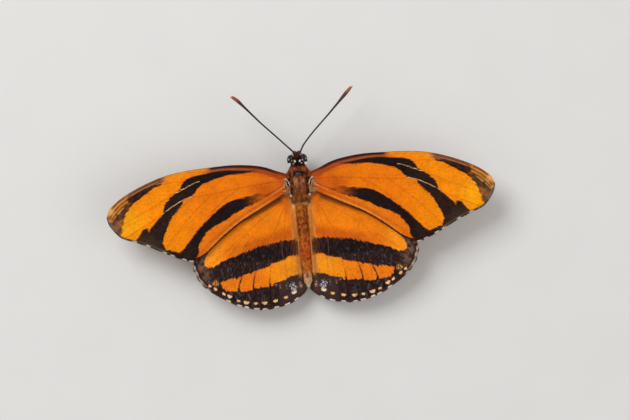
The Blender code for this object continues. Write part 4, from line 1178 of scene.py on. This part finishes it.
def body_colour(p, angle):
    """Colour of skin and coat at points of the body."""
    y = p[:, 1]
    wide = np.abs(p[:, 0])
    flat = columns(wide, y)
    tone = over(thorax_colour(p, y, wide, flat), abdomen_colour(p, y, wide), fade(-5.05, -4.85, y))
    tone = over(tone, head_colour(p, y, wide, flat), smooth(4.05, 4.25, y))
    return over(tone, srgb(182, 138, 98), 0.8 * fade(-0.5, 0.05, np.sin(angle)))


def make_body_skin(material):
    """One skin from the front of the head to the tip of the abdomen."""
    rings, sides = BODY_GRID
    y, angle = ring_points(np.linspace(BODY_RINGS[0][0], BODY_RINGS[-1][0], rings), sides)
    points = body_points(y, angle)[0]
    piece = make_object("body_skin", points, ring_faces(rings, sides, flip=True), material)
    add_colours(piece, "tone", body_colour(points, angle))
    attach(piece, "root")
    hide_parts("head", "prothorax", "thorax", "abdomen")


def coat_hairs(name, low, high, count, draw, material):
    """Hairs and flat scales over one stretch of the body."""
    y = draw.uniform(low, high, count)
    angle = draw.uniform(0, FULL_TURN, count)
    roots, normals = body_points(y, angle)
    colours = body_colour(roots, angle)
    kinds = draw.random(count)
    wide = np.abs(roots[:, 0])
    plain = (y <= 3.6) & (np.hypot(wide / 1.05, (y - 2.2) / 0.55) >= 1.1)
    colours = over(colours, srgb(236, 160, 74), (kinds < 0.1) * 0.7 * plain)
    colours = over(colours, srgb(58, 26, 12), (kinds > 0.88) * 0.7 * plain * (y > -20.8))
    colours = colours * draw.uniform(0.8, 1.45, count)[:, None]
    furry = smooth(-5.6, -4.6, y)
    head = smooth(4, 4.8, y + draw.normal(0, 0.2, count))
    above = np.sin(angle)
    by_spot = (np.hypot(wide / 1.15, (y - 2.9) / 0.75) < 1) & (above > 0.2)
    from_dot = np.hypot(wide - 0.55, y - 4.93)
    length = (0.4 + 0.5 * furry) * draw.uniform(0.6, 1.25, count) * (1 - 0.35 * head)
    for short, part in ((by_spot, 0.45), ((y < -4) & (y > -5.4), 0.55), (from_dot < 0.6, 0.5)):
        length = length * np.where(short, part, 1)
    lean = np.clip(0.1 + 0.25 * furry + 0.25 * (head > 0.05) + draw.normal(0, 0.1, count), 0.02, 0.7)
    lie = columns(0.25 * draw.normal(size=count) + 0.3 * np.cos(angle) * furry, -1 + 1.8 * head, 0)
    width = (0.04 + 0.008 * furry) * draw.uniform(0.7, 1.3, count)
    bare = (np.hypot(wide / 0.93, (y - 2.24) / 0.5) < 1) & (above > 0.3)
    in_eye = (wide > 0.88) & (np.abs(y - EYE_CENTRE[1]) < 1.1)
    run = (y - BODY_RINGS[0][0]) / (BODY_RINGS[-1][0] - BODY_RINGS[0][0])
    patch = columns(0.02 + 0.96 * (np.mod(angle, FULL_TURN) / FULL_TURN), 0.02 + 0.96 * run)
    spikes(name, roots, normals, lie, length, width, lean, colours, patch, material, "body_scales",
           keep=~bare & ~in_eye & ((from_dot > 0.22) | (above < 0.3)))


def make_body_coat(material):
    """Short fur of the head and thorax, and the abdomen's flat scales."""
    draw = np.random.default_rng(SEED)
    for name, low, high, count in COATS:
        coat_hairs(name, low, high, count, draw, material)


def plate_points(lean, turn):
    """Points and normals of the right shoulder plate."""
    dome = dome_points(lean, turn)
    points = PLATE_CENTRE + dome * PLATE_RADII
    points[:, 1] -= 0.35 * (points[:, 0] - PLATE_CENTRE[0])
    return points, unit(dome / PLATE_RADII)


def make_base_tufts(side_name, side, material):
    """Tufts where the wings join: shoulder plates' hair, pale lines, white and dark spots."""
    draw = np.random.default_rng(SEED + 9)
    groups = []

    def add(roots, normals, lie, length, width, colours, low, high):
        shade = draw.uniform(low, high, len(roots))[:, None]
        normals, lie = (np.broadcast_to(rows, roots.shape) for rows in (normals, lie))
        groups.append((roots, normals, lie, length, np.full(len(roots), width), colours * shade))

    count = PLATE_HAIRS
    roots, normals = plate_points(np.arccos(draw.uniform(-1, 1, count)), draw.uniform(-0.4, math.pi, count))
    colours = Paint(count, 196, 98, 42).lay(84, 36, 20, 0.9 * blots(roots, 0.4, 41))
    add(roots, normals, (0.35, -1, 0), draw.uniform(0.25, 0.6, count), 0.03, colours, 0.75, 1.25)
    for centre, reach, height, count, lie, length, tone, other in BASE_TUFTS:
        turn = draw.uniform(0, FULL_TURN, count)
        far = np.sqrt(draw.random(count))
        roots = columns(centre[0] + reach[0] * far * np.cos(turn),
                        centre[1] + reach[1] * far * np.sin(turn), height)
        colours = Paint(count, *tone).lay(*other, (draw.random(count) > 0.5) * 0.9)
        add(roots, UP, lie, draw.uniform(0.5, 1.3, count) * length, 0.028, colours, 0.75, 1.15)
    for line, count, scatter, width, tone in BASE_LINES:
        path = even(spline(line, 6), count)
        run = np.gradient(path, axis=0)
        roots = path + draw.normal(0, scatter, path.shape) * (1, 1, 0.4)
        lie = unit(run) + draw.normal(0, 0.12, run.shape)
        add(roots, UP, lie, draw.uniform(0.2, 0.44, count), width, srgb(*tone), 0.7, 1.1)
    roots, normals, lie, length, width, colours = (np.concatenate(column) for column in zip(*groups))
    lie = lie + draw.normal(0, 0.2, lie.shape)
    patch = columns(0.05 + 0.9 * np.clip(roots[:, 0] / 6, 0, 1), 0.05 + 0.9 * (roots[:, 1] + 6) / 14)
    flip = (side, 1, 1)
    spikes(f"base_tufts_{side_name}", roots * flip, normals * flip, lie * flip, length, width, 0.12, colours,
           patch, material, "body_scales")


def make_shoulder_plate(side_name, side, material):
    """The plate over the forewing's root."""
    points = plate_points(*dome_grid(*PLATE_GRID))[0] * (side, 1, 1)
    piece = make_object(f"shoulder_plate_{side_name}", points, ring_faces(*PLATE_GRID, side > 0), material)
    tone = Paint(len(points), 170, 84, 34).lay(74, 34, 18, 0.8 * blots(points, 0.4, 41))
    add_colours(piece, "tone", tone)
    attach(piece, "root")


def make_eyes(material):
    """Domed compound eyes."""
    dome = dome_points(*dome_grid(*EYE_GRID))
    for side_name, side in SIDES:
        points = (EYE_CENTRE + EYE_RADII * dome) * (side, 1, 1)
        piece = make_object(f"eye_dome_{side_name}", points, ring_faces(*EYE_GRID, side > 0), material)
        flat = columns(np.abs(points[:, 0]), points[:, 1])
        upper = smooth(0.1, 0.5, points[:, 2] - EYE_CENTRE[2])
        ragged = 0.35 + 0.65 * blots(points, 0.16, 83, 0.6)
        tone = Paint(len(points), 10, 8, 9)
        tone.lay(52, 40, 38, 0.5 * blots(points, 0.3, 81, 0.35))
        # Painted highlights on the upper part of each eye, and its white dot
        for centre, reach, shade in EYE_HIGHLIGHTS_AND_DOTS:
            tone.lay(*shade, smooth(0, 0.6, ball(flat, centre, reach)) * ragged * upper)
        add_colours(piece, "tone", tone.rgb)
        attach(piece, "root")
        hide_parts(f"eye_{side_name}")


def limb_line(path, radii, count):
    """Centres and widths at equal steps along a limb."""
    return even(spline(np.column_stack([path, radii]), 14), count)


def tube(name, path, radii, grid, material, colour, nodes, waves=(0, 0), floor=-FAR_OFF):
    """A round-ended tube with a smooth change of width, painted along its length."""
    sides, rings = grid
    line = limb_line(path, radii, rings)
    share = np.linspace(0, 1, rings)
    ends = np.minimum(1, np.minimum(np.arange(rings), np.arange(rings)[::-1]) / 4)
    widths = line[:, 3] * (1 + waves[0] * np.cos(share * FULL_TURN * waves[1]))
    widths *= np.sqrt(np.maximum(0.0004, 1 - (1 - ends) ** 2))
    ahead = unit(np.gradient(line[:, :3], axis=0))
    across = np.cross(ahead[0], (0.31, 0.22, 0.92))
    turns = np.linspace(0, FULL_TURN, sides, endpoint=False)[:, None]
    vertices = []
    for centre, width, forward in zip(line[:, :3], widths, ahead):
        across = unit(across - forward * (across @ forward))
        vertices.append(centre + width * (np.cos(turns) * across + np.sin(turns) * np.cross(forward, across)))
    vertices = np.concatenate(vertices)
    vertices[:, 2] = np.maximum(vertices[:, 2], floor)
    piece = make_object(name, vertices, ring_faces(rings, sides), material)
    add_colours(piece, "tone", np.repeat(colour(share), sides, axis=0))
    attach(piece, "root")
    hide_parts(*nodes)


def limb_coat(name, path, radii, count, length, tones, lean, material, slot, end=0.96, width=0.03):
    """Short hairs and scales along a tube, lying towards its end."""
    draw = np.random.default_rng(SEED + len(name))
    steps = 200
    line = limb_line(path, radii, steps)
    ahead = unit(np.gradient(line[:, :3], axis=0))
    at = draw.uniform(6, steps * end, count)
    centre = columns(*(np.interp(at, np.arange(steps), row) for row in line.T))
    along = ahead[at.astype(int)]
    normals = unit(np.cross(along, draw.normal(size=(count, 3))))
    roots = centre[:, :3] + normals * centre[:, 3:] * 0.97
    pick = draw.random(count)[:, None]
    first, second, third = (srgb(*tone) for tone in tones)
    colours = np.where(pick < 0.5, first, np.where(pick < 0.8, second, third))
    colours = colours * draw.uniform(0.75, 1.2, count)[:, None]
    patch = columns(0.02 + 0.96 * at / steps, 0.1 + 0.8 * draw.random(count))
    lie = along + draw.normal(0, 0.15, along.shape)
    spikes(name, roots, normals, lie, draw.uniform(0.6, 1.3, count) * length, width, lean, colours, patch,
           material, slot, keep=roots[:, 2] > 0.5)


def one_colour(*colour):
    """One colour all along a tube."""
    return lambda share: rows_of(srgb(*colour), len(share))


def antenna_colour(share):
    """Black shaft, orange-brown club, pale tip."""
    tone = Paint(len(share), 30, 20, 17)
    tone.lay(74, 38, 24, 0.8 * smooth(0.6, 0.86, share))
    tone.lay(140, 76, 32, smooth(0.86, 0.92, share))
    return tone.lay(232, 190, 150, smooth(0.965, 0.985, share))


def leg_colour(share):
    """Brown, paler at the joints and darker on the foot."""
    tone = Paint(len(share), 120, 74, 44)
    tone.lay(66, 38, 24, smooth(0.7, 0.8, share))
    tone.lay(196, 160, 120, bell(share, 0.33, 0.015))
    return tone.lay(196, 160, 120, bell(share, 0.66, 0.015))


def make_head_limbs(side_name, side, horn, skin, fur):
    """One feeler, one palp and one folded foreleg."""
    path = ANTENNA_PATHS[side_name]
    tube(f"antenna_shaft_{side_name}", path, ANTENNA_RADII, ANTENNA_GRID, horn, antenna_colour,
         [f"antenna_{side_name}"], ANTENNA_SEGMENTS)
    limb_coat(f"antenna_coat_{side_name}", path, ANTENNA_RADII, ANTENNA_HAIRS, 0.13, ANTENNA_TONES, -0.05,
              fur, "horn", 0.88, 0.018)
    path = np.array(PALP_PATH) * (side, 1, 1)
    tube(f"palp_skin_{side_name}", path, PALP_RADII, PALP_GRID, skin, one_colour(150, 96, 76),
         [f"palp_{side_name}"])
    limb_coat(f"palp_coat_{side_name}", path, PALP_RADII, PALP_HAIRS, 0.34, PALP_TONES, 0.2, fur,
              "body_scales")
    path = np.array(FORELEG_PATH) * (side, 1, 1)
    tube(f"foreleg_skin_{side_name}", path, FORELEG_RADII, FORELEG_GRID, horn, leg_colour,
         [f"foreleg_{side_name}"])
    limb_coat(f"foreleg_coat_{side_name}", path, FORELEG_RADII, FORELEG_HAIRS, 0.3, LEG_TONES, 0.1, fur,
              "legs")


def make_walking_leg(kind, side_name, side, horn, fur):
    """Thigh, shin and foot in one skin, with short scales and two claws."""
    root, hip, knee, ankle, toe = np.array(LEG_JOINTS[kind]) * (side, 1, 1)
    thigh = knee - hip
    shin = ankle - knee
    ahead = unit((toe - ankle) * (1, 1, 0))
    heel = toe - 1.1 * ahead
    path = [root, hip, hip + thigh * 0.5 + UP * 0.25, knee - thigh * 0.08, knee + shin * 0.1,
            knee + shin * 0.5 + UP * 0.15, ankle, ankle * 0.45 + heel * 0.55 - UP * 0.12, heel, toe]
    tube(f"{kind}leg_{side_name}", path, LEG_RADII, LEG_GRID, horn, leg_colour,
         [f"{kind}leg_{part}_{side_name}" for part in ("femur", "tibia", "tarsus")], floor=0)
    limb_coat(f"{kind}leg_coat_{side_name}", path, LEG_RADII, LEG_HAIRS, 0.24, LEG_TONES, 0, fur, "legs")
    across = np.array((-ahead[1], ahead[0], 0))
    for claw, turn in (("inner", -1), ("outer", 1)):
        bent = [toe + across * aside * turn + ahead * out + UP * rise for aside, out, rise in CLAW_BEND]
        tube(f"{kind}leg_claw_{claw}_{side_name}", bent, CLAW_RADII, CLAW_GRID, horn,
             one_colour(44, 26, 16), [], floor=0)


def make_proboscis(material):
    """The coil under the head, turned inwards from its root."""
    share = np.linspace(0, 1, COIL_POINTS)
    radius = COIL_OUTER_RADIUS + (COIL_INNER_RADIUS - COIL_OUTER_RADIUS) * share
    angle = math.radians(COIL_START_DEG) - FULL_TURN * COIL_TURNS * share
    coil = columns(0, COIL_CENTRE[0] + radius * np.cos(angle), COIL_CENTRE[1] + radius * np.sin(angle))
    path = np.concatenate([[COIL_ROOT], coil])
    tube("proboscis_coil", path, [COIL_TUBE_RADIUS] * len(path), COIL_GRID, material,
         one_colour(58, 36, 24), ["proboscis"], COIL_RINGS)


def make_stage():
    """A pale floor, soft light and the camera."""
    made = Nodes("pale_floor", 0.9)
    made.feed(made.mix(made.noise(made.place(), 60), *FLOOR_TONES), made.shader.inputs["Base Color"])
    mesh = bpy.data.meshes.new("floor")
    corners = [(x * FLOOR_REACH, y * FLOOR_REACH, 0) for x, y in ((-1, -1), (1, -1), (1, 1), (-1, 1))]
    mesh.from_pydata(corners, [], [(0, 1, 2, 3)])
    mesh.materials.append(made.material)
    add_object("floor", mesh)
    world = bpy.data.worlds.new("soft_room")
    world.use_nodes = True
    background = world.node_tree.nodes["Background"].inputs
    background["Color"].default_value = (1, 0.98, 0.955, 1)
    background["Strength"].default_value = 0.46
    bpy.context.scene.world = world
    for name, place, size, power in LAMPS:
        light = bpy.data.lights.new(name, "AREA")
        light.energy = power
        light.size = size
        lamp = add_object(name, light)
        lamp.location = place
        lamp.rotation_euler = (-Vector(place)).to_track_quat("-Z", "Y").to_euler()
    camera = bpy.data.cameras.new("camera")
    camera.sensor_width = SENSOR_WIDTH
    camera.lens = SENSOR_WIDTH * CAMERA_DISTANCE / VIEW_WIDTH
    camera.clip_start = 0.01
    viewer = add_object("camera", camera)
    place = (VIEW_CENTRE[0], VIEW_CENTRE[1] + SHIFT_Y, VIEW_HEIGHT_Z + CAMERA_DISTANCE)
    viewer.location = [value * MM for value in place]
    viewer.rotation_euler = (0, 0, -math.radians(ROLL_DEG))
    bpy.context.scene.camera = viewer
    bpy.context.scene.view_settings.view_transform = "Standard"


wing_scales = wing_material()
skin = painted_material("body_skin_scales", 0.7, 0.15, 2600, SCALE_BUMP)
fur = painted_material("body_fur", 0.65, 0.12, 1500, 0.00001)
horn = painted_material("horn", 0.4, 0.4, 3200, 0.00002)
for side_name, side in SIDES:
    for kind in WINGS:
        make_wing(kind, side_name, side, wing_scales)
    for kind in WINGS:
        make_fringe(kind, side_name, side, fur)
    make_wing_hair(side_name, side, fur)
    make_base_tufts(side_name, side, fur)
    make_shoulder_plate(side_name, side, skin)
make_body_skin(skin)
make_body_coat(fur)
for side_name, side in SIDES:
    make_head_limbs(side_name, side, horn, skin, fur)
    for kind in LEG_JOINTS:
        make_walking_leg(kind, side_name, side, horn, fur)
make_proboscis(horn)
make_eyes(eye_material())
make_stage()
